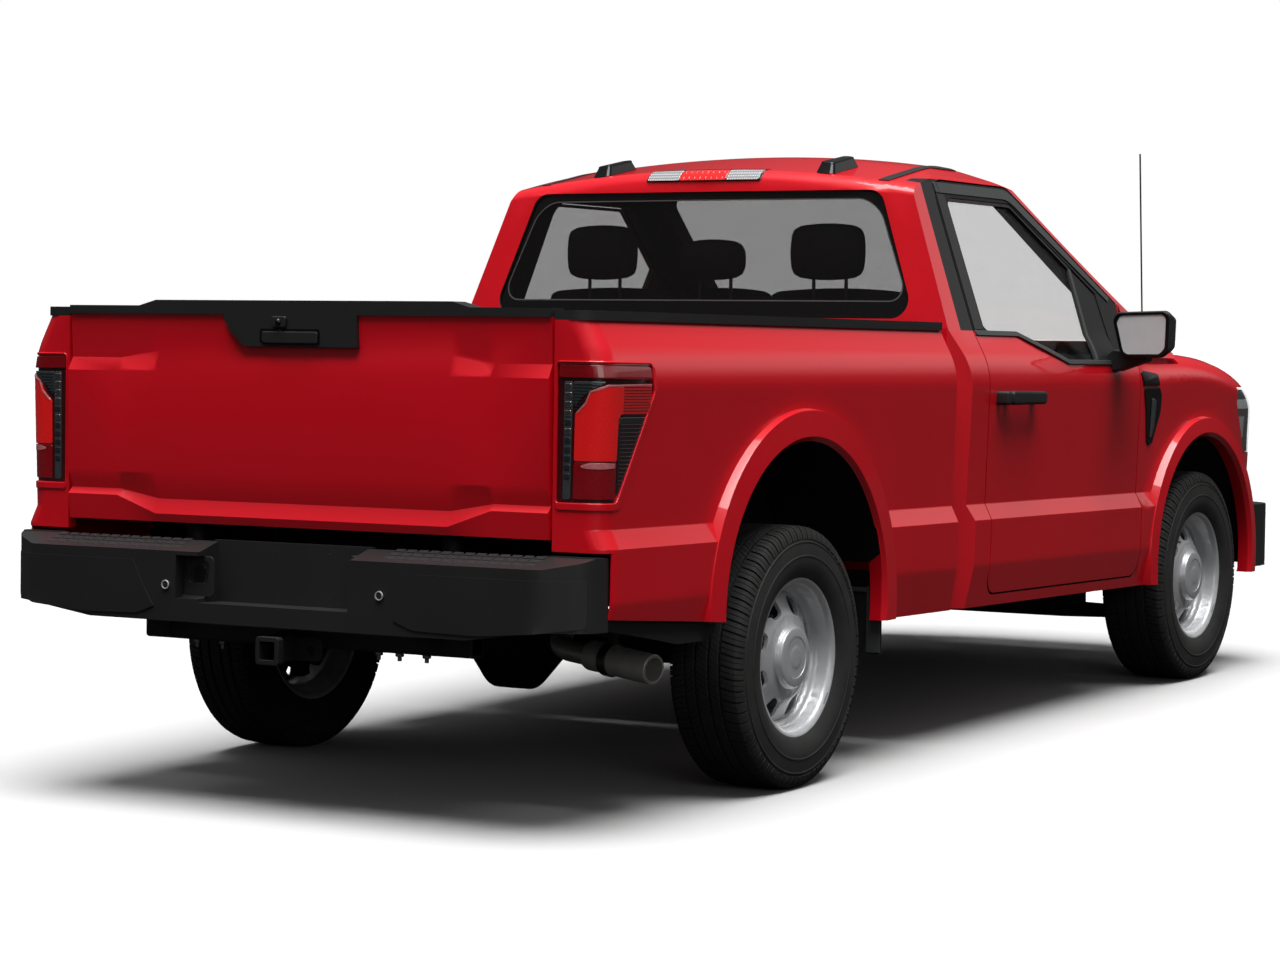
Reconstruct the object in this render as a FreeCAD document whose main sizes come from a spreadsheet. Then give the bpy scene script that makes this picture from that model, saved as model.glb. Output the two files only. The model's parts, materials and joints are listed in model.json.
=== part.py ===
import FreeCAD
import Part
import math
import os
import re
import Sketcher

# Pickup truck, regular cab and 6.5 foot box, in millimetres.
# The body is drawn level, with X from the rear axle, Y to the left and Z from the
# ground under the rear axle. One placement then gives it its nose-down rake.
# Wheels, axles and brakes are drawn on the level road with the same zero.

document = FreeCAD.newDocument("PickupTruck")
sheet = document.addObject("Spreadsheet::Sheet", "Sizes")
V = FreeCAD.Vector


class Sizes:
    """The driving dimensions: each is a cell of the sheet with an alias."""

    rows = 0

    def add(self, **named):
        for name, value in named.items():
            Sizes.rows += 1
            sheet.set("A%d" % Sizes.rows, name)
            sheet.set("B%d" % Sizes.rows, str(value))
            sheet.setAlias("B%d" % Sizes.rows, name)
        sheet.recompute()

    def __getattr__(self, name):
        return float(sheet.get(name))


d = Sizes()


def bound(expression):
    """An expression on size names, as the document's objects read it."""
    return re.sub(r"[a-z][a-z_]*", lambda word: "Sizes." + word.group(0), expression)


# Outlines and solids

AXES = {"xy": V(0, 0, 1), "xz": V(0, 1, 0), "yz": V(1, 0, 0)}


def at(plane, a, b, level):
    """The point (a, b) of a plane at a level along the plane's normal."""
    if plane == "xy":
        return V(a, b, level)
    if plane == "xz":
        return V(a, level, b)
    return V(level, a, b)


def outline(plane, points, level=0):
    """A closed wire; a point is (a, b), or (a, b, radius) for a round corner."""
    spots = [at(plane, p[0], p[1], level) for p in points]
    ends = []
    for i, spot in enumerate(spots):
        radius = points[i][2] if len(points[i]) > 2 else 0
        if not radius:
            ends.append((spot, None, spot))
            continue
        back = (spots[i - 1] - spot).normalize()
        ahead = (spots[(i + 1) % len(spots)] - spot).normalize()
        half = back.getAngle(ahead) / 2
        inward = (back + ahead).normalize()
        run = radius / math.tan(half)
        middle = spot + inward * (radius / math.sin(half) - radius)
        ends.append((spot + back * run, middle, spot + ahead * run))
    edges = []
    for i, (start, middle, end) in enumerate(ends):
        if middle is not None:
            edges.append(Part.Arc(start, middle, end).toShape())
        following = ends[(i + 1) % len(ends)][0]
        if (following - end).Length > d.tiny:
            edges.append(Part.makeLine(end, following))
    return Part.Wire(edges)


def prism(plane, points, low, high):
    """An outline pushed from one level to another along its normal."""
    return Part.Face(outline(plane, points, low)).extrude(AXES[plane] * (high - low))


def loft(plane, outlines, levels, ruled=False):
    """A solid through like outlines at rising levels."""
    wires = [outline(plane, points, level) for points, level in zip(outlines, levels)]
    return Part.makeLoft(wires, True, ruled)


def block(x_low, x_high, y_low, y_high, z_low, z_high):
    return Part.makeBox(x_high - x_low, y_high - y_low, z_high - z_low, V(x_low, y_low, z_low))


def rod(start, end, radius):
    """A round bar from one point to another."""
    along = end - start
    return Part.makeCylinder(radius, along.Length, start, along)


def ring(plane, centre, outer, inner, low, high):
    """A flat ring about an axis normal to the plane."""
    solid = Part.makeCylinder(outer, high - low, at(plane, *centre, low), AXES[plane])
    return solid.cut(Part.makeCylinder(inner, high - low, at(plane, *centre, low), AXES[plane]))


def mirrored(shape):
    return shape.mirror(V(0, 0, 0), V(0, 1, 0))


def pair(shape):
    """The same piece on both sides, as one shape."""
    return shape.fuse(mirrored(shape))


def both(points):
    """A (y, z) outline of one half, run back down the other side."""
    return points + [(-p[0],) + tuple(p[1:]) for p in reversed(points)]


pieces = []


def add(label, shape, road=False):
    """One sub-part from a finished shape."""
    piece = document.addObject("Part::Feature", label)
    piece.Label = label
    piece.Shape = shape.removeSplitter()
    pieces.append((piece, road))
    return piece


def keep(piece, label, road=False):
    """One sub-part from a document object with bound sizes."""
    piece.Label = label
    pieces.append((piece, road))
    return piece


class Body:
    """A PartDesign body whose sketches and features are bound to the sheet."""

    def __init__(self, label, road=False):
        self.body = document.addObject("PartDesign::Body", label)
        keep(self.body, label, road)

    def sketch(self, role, points=(), circles=(), lift=None):
        planes = self.body.Origin.OriginFeatures
        plane = [feature for feature in planes if feature.Role == role][0]
        sketch = self.body.newObject("Sketcher::SketchObject", "Sketch")
        sketch.AttachmentSupport = [(plane, "")]
        sketch.MapMode = "FlatFace"
        if lift:
            sketch.setExpression("AttachmentOffset.Base.z", bound(lift))
        corners = [V(math.cos(2 * math.pi * i / len(points)), math.sin(2 * math.pi * i / len(points)), 0)
                   for i in range(len(points))]
        for i, corner in enumerate(corners):
            sketch.addGeometry(Part.LineSegment(corner, corners[(i + 1) % len(corners)]), False)
        for i in range(len(corners)):
            sketch.addConstraint(Sketcher.Constraint("Coincident", i, 2, (i + 1) % len(corners), 1))
        for i, point in enumerate(points):
            self.place(sketch, i, 1, corners[i], point)
        for x, y, radius in circles:
            index = sketch.addGeometry(Part.Circle(V(0, 0, 0), V(0, 0, 1), 1), False)
            self.place(sketch, index, 3, V(0, 0, 0), (x, y))
            size = sketch.addConstraint(Sketcher.Constraint("Radius", index, 1))
            sketch.setExpression("Constraints[%d]" % size, bound(radius))
        return sketch

    def place(self, sketch, index, end, corner, point):
        for kind, start, text in (("DistanceX", corner.x, point[0]), ("DistanceY", corner.y, point[1])):
            if text == "0":
                link = sketch.addConstraint(Sketcher.Constraint(kind, -1, 1, index, end, 0))
                continue
            link = sketch.addConstraint(Sketcher.Constraint(kind, -1, 1, index, end, start))
            sketch.setExpression("Constraints[%d]" % link, bound(text))

    def feature(self, kind, sketch, length, symmetric=False, reverse=False):
        feature = self.body.newObject("PartDesign::" + kind, kind)
        feature.Profile = sketch
        if symmetric:
            feature.SideType = "Symmetric"
        feature.Reversed = reverse
        feature.setExpression("Length", bound(length))
        self.body.Tip = feature
        return feature

    def pad(self, sketch, length, symmetric=False, reverse=False):
        return self.feature("Pad", sketch, length, symmetric, reverse)

    def pocket(self, sketch, length, symmetric=False, reverse=False):
        return self.feature("Pocket", sketch, length, symmetric, reverse)

    def revolve(self, sketch, axis, kind="Revolution"):
        feature = self.body.newObject("PartDesign::" + kind, kind)
        feature.Profile = sketch
        feature.ReferenceAxis = (sketch, [axis])
        feature.Angle = 360
        self.body.Tip = feature
        return feature

    def polar(self, original, role, count):
        axis = [f for f in self.body.Origin.OriginFeatures if f.Role == role][0]
        pattern = self.body.newObject("PartDesign::PolarPattern", "PolarPattern")
        pattern.Originals = [original]
        pattern.Axis = (axis, [""])
        pattern.Angle = 360
        pattern.Occurrences = count
        self.body.Tip = pattern
        return pattern

    def row(self, original, role, length, count):
        axis = [f for f in self.body.Origin.OriginFeatures if f.Role == role][0]
        pattern = self.body.newObject("PartDesign::LinearPattern", "LinearPattern")
        pattern.Originals = [original]
        pattern.Direction = (axis, [""])
        pattern.setExpression("Length", bound(length))
        pattern.Occurrences = count
        self.body.Tip = pattern
        return pattern

    def mirror(self, originals, role="XZ_Plane"):
        plane = [f for f in self.body.Origin.OriginFeatures if f.Role == role][0]
        pattern = self.body.newObject("PartDesign::Mirrored", "Mirrored")
        pattern.Originals = originals
        pattern.MirrorPlane = (plane, [""])
        self.body.Tip = pattern
        return pattern

    def fillet(self, direction, radius):
        """Rounds every straight edge that runs along a direction."""
        document.recompute()
        base = self.body.Tip
        names = []
        for i, edge in enumerate(base.Shape.Edges):
            ends = edge.Vertexes
            if edge.Curve.TypeId != "Part::GeomLine" or len(ends) < 2:
                continue
            if abs((ends[1].Point - ends[0].Point).normalize().dot(direction)) > 1 - d.tiny:
                names.append("Edge%d" % (i + 1))
        fillet = self.body.newObject("PartDesign::Fillet", "Fillet")
        fillet.Base = (base, names)
        fillet.setExpression("Radius", bound(radius))
        self.body.Tip = fillet
        return fillet


def rect(a_low, a_high, b_low, b_high):
    """The four corners of a rectangle in expressions."""
    return [(a_low, b_low), (a_high, b_low), (a_high, b_high), (a_low, b_high)]


# Sizes that more than one piece shares
d.add(
    tiny=0.01,
    seam=6,
    seat_gap=0.3,
    pin_gap=0.3,
    overrun=20,
    wheel_base=3119,
    tyre_radius=385,
    track_front=1717,
    liner_radius=490,
    liner_wall=6,
    wheel_drop=100,
    track_rear=1735,
    rake_degrees=1.6,
)

# Wheels: a steel disc wheel with eight hand holes, and the brake disc on its hub

d.add(
    tyre_width=245,
    tread_half=92,
    crown_drop=5,
    shoulder_drop=22,
    bulge_radius=300,
    bead_half=93,
    rim_half=104,
    rim_lip=233,
    rim_seat=219,
    rim_seat_inner=211,
    rim_drop=198,
    rim_wall=8,
    seat_end=60,
    drop_end=44,
    cap_face=97,
    cap_side=84,
    cap_radius=94,
    crest_radius=118,
    crest_face=73,
    slope_radius=182,
    slope_face=38,
    disc_sheet=12,
    hole_half_low=20,
    hole_half_high=30,
    hole_low=137,
    hole_high=178,
    hub_radius=75,
    hub_back=52,
    brake_radius=165,
    brake_thick=24,
    stub_radius=20,
    bore_depth=40,
    turn_front=3,
    turn_rear=22,
)


def make_rim(label, x, y, turn):
    """The sketch lies in the wheel's XY plane: X is the radius, Y points outboard."""
    wheel = Body(label, True)
    half = wheel.sketch("XY_Plane", [
        ("0", "cap_face"), ("cap_radius - disc_sheet", "cap_face"), ("cap_radius", "cap_side"),
        ("cap_radius", "crest_face"), ("crest_radius", "crest_face"),
        ("slope_radius", "slope_face"), ("rim_drop - rim_wall", "slope_face - rim_wall"),
        ("rim_drop - rim_wall", "drop_end"), ("rim_seat_inner", "seat_end"), ("rim_seat_inner", "rim_half - rim_wall * 2"),
        ("rim_lip - rim_wall", "rim_half"), ("rim_lip", "rim_half"),
        ("rim_lip", "rim_half - rim_wall"), ("rim_seat", "rim_half - rim_wall - rim_wall / 2"),
        ("rim_seat", "seat_end"), ("rim_drop", "drop_end"), ("rim_drop", "-drop_end"),
        ("rim_seat", "-seat_end"), ("rim_seat", "-(rim_half - rim_wall - rim_wall / 2)"),
        ("rim_lip", "-(rim_half - rim_wall)"), ("rim_lip", "-rim_half"),
        ("rim_lip - rim_wall", "-rim_half"), ("rim_seat_inner", "-(rim_half - rim_wall * 2)"),
        ("rim_seat_inner", "-seat_end"), ("rim_drop - rim_wall", "-drop_end"),
        ("rim_drop - rim_wall", "slope_face - disc_sheet - rim_wall"),
        ("slope_radius", "slope_face - disc_sheet"), ("crest_radius", "crest_face - disc_sheet"),
        ("hub_radius", "crest_face - disc_sheet"), ("hub_radius", "brake_thick - hub_back"),
        ("brake_radius", "brake_thick - hub_back"), ("brake_radius", "-hub_back"),
        ("0", "-hub_back"),
    ])
    wheel.revolve(half, "V_Axis")
    bore = wheel.sketch("XZ_Plane", [], [("0", "0", "stub_radius + pin_gap")], "hub_back")
    wheel.pocket(bore, "bore_depth")
    hole = wheel.sketch("XZ_Plane", [
        ("-hole_half_low", "hole_low"), ("hole_half_low", "hole_low"),
        ("hole_half_high", "hole_high"), ("-hole_half_high", "hole_high"),
    ], [], "-slope_face + disc_sheet + disc_sheet + rim_wall")
    cut = wheel.pocket(hole, "crest_face", reverse=True)
    wheel.polar(cut, "Y_Axis", 8)
    side = 0 if y > 0 else 180
    wheel.body.Placement = FreeCAD.Placement(V(x, y, d.tyre_radius), FreeCAD.Rotation(V(0, 0, 1), side)
                                             * FreeCAD.Rotation(V(0, 1, 0), turn))


def make_tyre(label, x, y):
    tyre = Body(label, True)
    half = tyre.sketch("XY_Plane", [
        ("rim_seat + seat_gap", "-bead_half + rim_wall"), ("rim_lip + rim_wall", "-bead_half - rim_wall"),
        ("bulge_radius", "-tyre_width / 2"),
        ("tyre_radius - shoulder_drop", "-tread_half - shoulder_drop"),
        ("tyre_radius - crown_drop", "-tread_half"), ("tyre_radius", "0"),
        ("tyre_radius - crown_drop", "tread_half"),
        ("tyre_radius - shoulder_drop", "tread_half + shoulder_drop"),
        ("bulge_radius", "tyre_width / 2"),
        ("rim_lip + rim_wall", "bead_half + rim_wall"), ("rim_seat + seat_gap", "bead_half - rim_wall"),
    ])
    tyre.revolve(half, "V_Axis")
    tyre.body.Placement = FreeCAD.Placement(V(x, y, d.tyre_radius), FreeCAD.Rotation())


for side, half in (("left", 1), ("right", -1)):
    make_rim("rim_front_" + side, d.wheel_base, half * d.track_front / 2, d.turn_front)
    make_rim("rim_rear_" + side, 0, half * d.track_rear / 2, d.turn_rear)
    make_tyre("tyre_front_" + side, d.wheel_base, half * d.track_front / 2)
    make_tyre("tyre_rear_" + side, 0, half * d.track_rear / 2)

# Front knuckles: a kingpin post between the ball joints, with its stub axle

d.add(
    kingpin_out=745,
    post_radius=30,
    ball_rise=150,
    ball_gap=1,
    arm_thick=36,
    ball_radius=36,
    ball_pin=12,
    steer_arm_reach=130,
    steer_arm_thick=24,
    steer_arm_half=20,
    rack_drop=60,
)


def make_knuckle(label, half):
    centre = V(d.wheel_base, half * d.kingpin_out, d.tyre_radius)
    rise = V(0, 0, d.ball_rise - d.arm_thick / 2 - d.ball_gap)
    post = rod(centre - rise, centre + rise, d.post_radius)
    hub_end = half * (d.track_front / 2 - d.hub_back - d.pin_gap)
    stub_end = half * (d.track_front / 2 - d.hub_back + d.bore_depth - d.seam)
    carrier = rod(centre, V(d.wheel_base, hub_end, d.tyre_radius), d.post_radius)
    stub = rod(centre, V(d.wheel_base, stub_end, d.tyre_radius), d.stub_radius)
    arm_low = d.tyre_radius - d.rack_drop - d.steer_arm_thick / 2
    arm = block(d.wheel_base, d.wheel_base + d.steer_arm_reach,
                centre.y - d.steer_arm_half, centre.y + d.steer_arm_half,
                arm_low, arm_low + d.steer_arm_thick)
    knuckle = post.fuse([carrier, stub, arm])
    for turn in (1, -1):
        tip = centre + rise * turn
        knuckle = knuckle.cut(rod(tip, tip - V(0, 0, turn * d.arm_thick), d.ball_pin + d.pin_gap))
    add(label, knuckle, True)


make_knuckle("knuckle_left", 1)
make_knuckle("knuckle_right", -1)

# Rear axle: tube, differential housing and the stubs that the wheels turn on

d.add(
    axle_radius=42,
    flange_radius=60,
    flange_thick=16,
    diff_radius=150,
    diff_half=110,
    diff_neck_half=170,
    nose_length=190,
    nose_radius=60,
)

axle = Body("rear_axle", True)
profile = axle.sketch("XY_Plane", [
    ("0", "-(track_rear / 2 - hub_back + bore_depth - seam)"),
    ("stub_radius", "-(track_rear / 2 - hub_back + bore_depth - seam)"),
    ("stub_radius", "-(track_rear / 2 - hub_back - pin_gap)"),
    ("flange_radius", "-(track_rear / 2 - hub_back - pin_gap)"),
    ("flange_radius", "-(track_rear / 2 - hub_back - flange_thick)"),
    ("axle_radius", "-(track_rear / 2 - hub_back - flange_thick)"),
    ("axle_radius", "-diff_neck_half"), ("diff_radius", "-diff_half / 2"),
    ("diff_radius", "diff_half / 2"), ("axle_radius", "diff_neck_half"),
    ("axle_radius", "track_rear / 2 - hub_back - flange_thick"),
    ("flange_radius", "track_rear / 2 - hub_back - flange_thick"),
    ("flange_radius", "track_rear / 2 - hub_back - pin_gap"),
    ("stub_radius", "track_rear / 2 - hub_back - pin_gap"),
    ("stub_radius", "track_rear / 2 - hub_back + bore_depth - seam"),
    ("0", "track_rear / 2 - hub_back + bore_depth - seam"),
])
axle.revolve(profile, "V_Axis")
nose = axle.sketch("YZ_Plane", [], [("0", "0", "nose_radius")])
axle.pad(nose, "nose_length")
axle.body.Placement = FreeCAD.Placement(V(0, 0, d.tyre_radius), FreeCAD.Rotation())

# The body's outer form, drawn level

d.add(
    sill_out=978,
    sill_low=465,
    flank_out=1001,
    flank_high=600,
    flank_round=120,
    ledge_out=1003,
    ledge_low=745,
    ledge_round=8,
    tuck_out=978,
    ledge_top=795,
    tuck_round=15,
    shoulder_out=992,
    shoulder_high=1225,
    shoulder_round=240,
    belt_out=928,
    belt_high=1345,
    drip_out=745,
    drip_high=1849,
    drip_round=50,
    top_half=500,
    top_high=1958,
    cab_back=1030,
)


def side_section(inset=0):
    """The body's cross-section, both sides, as a (y, z) outline."""
    return both([
        (d.sill_out - inset, d.sill_low),
        (d.flank_out - inset, d.flank_high, d.flank_round),
        (d.ledge_out - inset, d.ledge_low, d.ledge_round),
        (d.tuck_out - inset, d.ledge_top, d.tuck_round),
        (d.shoulder_out - inset, d.shoulder_high, d.shoulder_round),
        (d.belt_out - inset, d.belt_high),
        (d.drip_out - inset, d.drip_high, d.drip_round),
        (d.top_half - inset, d.top_high),
    ])


# Cab: shell, roof panel, windshield and rear window

d.add(
    glass_top_back=1092,
    glass_top_high=1838,
    roof_rear=1116,
    roof_rear_high=1872,
    roof_apex=1600,
    roof_apex_high=1952,
    roof_front=2060,
    roof_front_high=1893,
    roof_corner_round=60,
    roof_round=1000,
    screen_base=2990,
    screen_base_high=1290,
    roof_crown=45,
    crown_half=660,
    bow_half=900,
    bow_top=230,
    bow_base=115,
    bow_back=25,
    cab_round=90,
    cab_wall=60,
    roof_wall=34,
    pillar_wall=62,
    floor_under=575,
    floor_top=600,
    rocker_half=800,
    firewall=2780,
    firewall_thick=30,
    glass_thick=5,
    glass_set=8,
    ditch_out=662,
    ditch_wide=12,
    roof_back_seam=1135,
    roof_front_seam=1985,
)
STATION_SHARES = (-1.15, -0.8, -0.4, 0, 0.4, 0.8, 1.15)


def cab_outline(y, back=0, top=0, front=0):
    """The cab's side outline at a distance from the middle, with its skins inset."""
    bow = (y / d.bow_half) ** 2
    crown = d.roof_crown * (y / d.crown_half) ** 2
    rear = d.bow_back * bow + back
    return [
        (d.cab_back + rear, d.sill_low - d.overrun), (d.cab_back + rear, d.belt_high),
        (d.glass_top_back + rear, d.glass_top_high - crown - top),
        (d.roof_rear + rear, d.roof_rear_high - crown - top, d.roof_corner_round),
        (d.roof_apex - d.bow_top * bow / 2, d.roof_apex_high - crown - top, d.roof_round),
        (d.roof_front - d.bow_top * bow - front, d.roof_front_high - crown - top, d.roof_corner_round),
        (d.screen_base - d.bow_base * bow - front, d.screen_base_high),
        (d.screen_base - d.bow_base * bow - front, d.sill_low - d.overrun),
    ]


def cab_form(side=0, back=0, top=0, front=0):
    """The cab as one solid, each face set in by its own wall."""
    levels = [share * d.bow_half for share in STATION_SHARES]
    form = loft("xz", [cab_outline(y, back, top, front) for y in levels], levels)
    section = prism("yz", side_section(side), d.cab_back - d.overrun, d.screen_base + d.overrun)
    plan = prism("xy", both_y([
        (d.cab_back + back, d.sill_out - side - d.cab_round), (d.cab_back + back + d.cab_round, d.ledge_out - side),
        (d.screen_base, d.ledge_out - side)]), d.sill_low - d.overrun, d.top_high)
    return form.common(section).common(plan)


def both_y(points):
    """A (x, y) outline of the left half, run back along the right side."""
    return points + [(p[0], -p[1]) + tuple(p[2:]) for p in reversed(points)]


d.add(
    far=3000,
    wide=1100,
    shelf_back=2600,
    shelf_thick=25,
    shelf_high=1005,
    apron_half=960,
    nose_under=1272,
    screen_side_low=790,
    screen_side_high=640,
    screen_low=1330,
    screen_high=1832,
    screen_round=70,
    rear_side_low=806,
    rear_side_high=655,
    rear_low=1384,
    rear_high=1800,
    rear_round=60,
    door_rear=1244,
    door_front=2486,
    door_low=505,
    door_round=60,
    door_top=1838,
    door_top_rear=1275,
    door_top_front=1847,
    door_pillar_high=1462,
    door_top_round=90,
    door_in=868,
    door_in_high=1290,
    frame_thick=45,
    sill_step=620,
    door_upper_in=600,
    window_rear=1318,
    window_rear_top=1338,
    window_belt=1352,
    window_top=1786,
    window_top_front=1838,
    window_front=2335,
    window_front_high=1494,
    window_belt_low=1262,
    window_step_front=1900,
    window_step_rear=1560,
    window_round=40,
    window_top_round=60,
    pin_back=72,
    pin_out=940,
    hinge_low=650,
    hinge_high=1100,
    hinge_pin=7,
    hinge_arm_tall=36,
    hinge_arm_thick=10,
    hinge_barrel=13,
    hinge_barrel_tall=18,
    barrel_gap=1,
    hinge_wall=15,
    hinge_foot=876,
    skin=8,
    post_clear=29,
)


def door_outline(grow=0):
    return [
        (d.door_rear - grow, d.door_low - grow, d.door_round), (d.door_rear - grow, d.belt_high),
        (d.door_top_rear - grow, d.door_top + grow, d.door_top_round),
        (d.door_top_front + grow / 2, d.door_top + grow, d.door_top_round),
        (d.door_front + grow, d.door_pillar_high + grow / 2),
        (d.door_front + grow, d.door_low - grow, d.door_round),
    ]


def window_outline(shrink=0):
    return [
        (d.window_rear + shrink, d.window_belt + shrink, d.window_round),
        (d.window_rear_top + shrink, d.window_top - shrink, d.window_top_round),
        (d.window_top_front - shrink, d.window_top - shrink, d.window_top_round),
        (d.window_front - shrink, d.window_front_high - shrink),
        (d.window_front - shrink, d.window_belt_low + shrink, d.window_round),
        (d.window_step_front, d.window_belt_low + shrink, d.window_top_round),
        (d.window_step_rear, d.window_belt + shrink, d.window_top_round),
    ]


def screen_outline(shrink=0):
    return both([
        (d.screen_side_low - shrink, d.screen_low + shrink, d.screen_round),
        (d.screen_side_high - shrink, d.screen_high - shrink, d.screen_round),
    ])


def rear_outline(shrink=0):
    return both([
        (d.rear_side_low - shrink, d.rear_low + shrink, d.rear_round),
        (d.rear_side_high - shrink, d.rear_high - shrink, d.rear_round),
    ])


cab_outer = cab_form()
cab_room = prism("xz", [
    (d.cab_back - d.overrun, d.floor_top), (d.shelf_back, d.floor_top),
    (d.shelf_back, d.shelf_high + d.shelf_thick), (d.firewall, d.shelf_high + d.shelf_thick),
    (d.firewall, d.nose_under + d.skin), (d.far, d.nose_under + d.skin),
    (d.far, d.top_high), (d.cab_back - d.overrun, d.top_high)], -d.wide, d.wide)
cab_inner = cab_form(d.pillar_wall, d.cab_wall, d.roof_wall, d.pillar_wall).common(cab_room)

bay = prism("xz", [
    (d.shelf_back + d.shelf_thick, 0), (d.shelf_back + d.shelf_thick, d.shelf_high),
    (d.firewall + d.firewall_thick, d.shelf_high), (d.firewall + d.firewall_thick, d.nose_under),
    (d.far + d.overrun, d.nose_under), (d.far + d.overrun, 0)], -d.wide, d.wide)
door_hole = prism("xz", door_outline(d.seam), d.door_in - d.seam, d.wide)
upper_hole = prism("xz", door_outline(d.seam), d.door_upper_in, d.wide).common(
    block(0, d.far, 0, d.wide, d.sill_step, d.top_high))
swing_hole = block(d.door_front, d.door_front + d.post_clear, d.hinge_foot + d.seam * 2, d.wide,
                   d.door_low - d.seam, d.door_pillar_high)
corner_relief = block(d.door_front - d.door_round, d.door_front + d.post_clear, d.hinge_foot + d.seam * 2,
                      d.sill_out, d.door_low - d.seam, d.door_low + d.door_round)
apron_hole = block(d.door_front + d.seam, d.far, d.apron_half, d.wide, 0, d.nose_under)
lock_post = block(d.door_front + d.seam, d.shelf_back, d.door_in - d.seam, d.apron_half,
                  d.floor_top, d.nose_under)
arch_x = d.wheel_base
front_clear = rod(V(arch_x, -d.wide, d.flank_high - d.wheel_drop), V(arch_x, d.wide, d.flank_high - d.wheel_drop),
                  d.liner_radius + d.liner_wall + d.seat_gap)

roof_cut = prism("xy", both_y([(d.roof_back_seam, d.ditch_out - d.ditch_wide),
                               (d.roof_front_seam - d.bow_top / 2, d.ditch_out - d.ditch_wide),
                               (d.roof_front_seam, d.crown_half / 2)]), d.door_top, d.top_high + d.overrun)
shell = cab_outer.cut(cab_inner).fuse(pair(lock_post)).cut([
    bay, block(d.cab_back - d.overrun, d.far, -d.rocker_half, d.rocker_half, 0, d.floor_under),
    pair(door_hole), pair(upper_hole), pair(swing_hole), pair(corner_relief), pair(apron_hole), front_clear,
    prism("yz", screen_outline(), d.roof_front_seam - d.bow_top, d.far + d.overrun),
    prism("yz", rear_outline(), d.cab_back - d.overrun, d.cab_back + d.bow_top), roof_cut])


def hinge_pin_place(high):
    return V(d.door_front - d.pin_back, d.pin_out, high)


def hinge_bracket(high):
    pin = hinge_pin_place(high)
    reach = (d.pin_out - d.hinge_foot) * math.sqrt(2) + d.post_clear
    arm = Part.makeBox(reach, d.hinge_arm_thick, d.hinge_arm_tall,
                       V(0, -d.hinge_arm_thick / 2, -d.hinge_arm_tall / 2))
    arm.rotate(V(0, 0, 0), V(0, 0, 1), -45)
    arm.translate(pin)
    rise = V(0, 0, d.hinge_arm_tall / 2 + d.hinge_barrel_tall)
    return arm.fuse(rod(pin - rise, pin + rise, d.hinge_pin))


brackets = hinge_bracket(d.hinge_low).fuse(hinge_bracket(d.hinge_high))
shell = shell.fuse(pair(brackets))
add("cab_shell", shell)
add("roof_panel", cab_outer.cut(cab_inner).common(roof_cut.common(
    block(d.roof_back_seam + d.seat_gap, d.far, -d.ditch_out + d.ditch_wide + d.seat_gap,
          d.ditch_out - d.ditch_wide - d.seat_gap, 0, d.far))))

glass_skin = cab_form(d.glass_set, d.glass_set, d.glass_set, d.glass_set * 2).cut(
    cab_form(d.glass_set + d.glass_thick, d.glass_set + d.glass_thick, d.glass_set + d.glass_thick,
             (d.glass_set + d.glass_thick) * 2))
add("windshield", glass_skin.common(
    prism("yz", screen_outline(d.seat_gap), d.roof_front_seam - d.bow_top, d.far)))
add("rear_window", glass_skin.common(
    prism("yz", rear_outline(d.seat_gap), d.cab_back - d.overrun, d.cab_back + d.bow_top)))

# Doors: hollow to the trim, a window frame, and barrels on the hinge pins


def make_door(side, turn):
    body = cab_outer.common(prism("xz", door_outline(), 0, d.wide))
    inside = prism("yz", both([
        (d.door_in, 0), (d.door_in, d.door_in_high), (d.belt_out - d.frame_thick, d.belt_high),
        (d.drip_out - d.frame_thick, d.drip_high), (d.top_half - d.frame_thick, d.top_high)]), 0, d.far)
    body = body.cut([inside, prism("xz", window_outline(), 0, d.wide)])
    edge = d.door_front - d.pin_back - d.hinge_wall
    lip = prism("yz", side_section(d.skin), edge, d.far).common(
        block(edge, d.far, 0, d.wide, 0, d.door_in_high - d.skin))
    body = body.cut(lip)
    for high in (d.hinge_low, d.hinge_high):
        pin = hinge_pin_place(high)
        for rise in (d.hinge_arm_tall / 2 + d.barrel_gap, d.barrel_gap - d.hinge_arm_tall / 2 - d.hinge_barrel_tall):
            base = pin + V(0, 0, rise)
            top = base + V(0, 0, d.hinge_barrel_tall - d.barrel_gap * 2)
            barrel = rod(base, top, d.hinge_barrel).fuse(block(
                edge - d.skin, pin.x, pin.y - d.hinge_barrel, pin.y + d.hinge_barrel, base.z, top.z))
            body = body.fuse(barrel.cut(rod(base, top, d.hinge_pin + d.pin_gap)))
    glass = glass_skin.common(prism("xz", window_outline(d.seat_gap), 0, d.wide))
    if turn:
        body, glass = mirrored(body), mirrored(glass)
    add("door_" + side, body)
    add("door_glass_" + side, glass)


make_door("left", False)
make_door("right", True)

# Mirrors with the door handles, on the doors

d.add(
    mirror_rear=2205,
    mirror_front=2325,
    mirror_in=990,
    mirror_out=1215,
    mirror_low=1268,
    mirror_high=1436,
    mirror_round=30,
    mirror_arm_low=1215,
    mirror_arm_high=1250,
    mirror_arm_rear=2250,
    mirror_arm_front=2310,
    handle_rear=1335,
    handle_front=1590,
    handle_low=1117,
    handle_high=1151,
    handle_out=1038,
    handle_thick=18,
    handle_foot=40,
)


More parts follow.
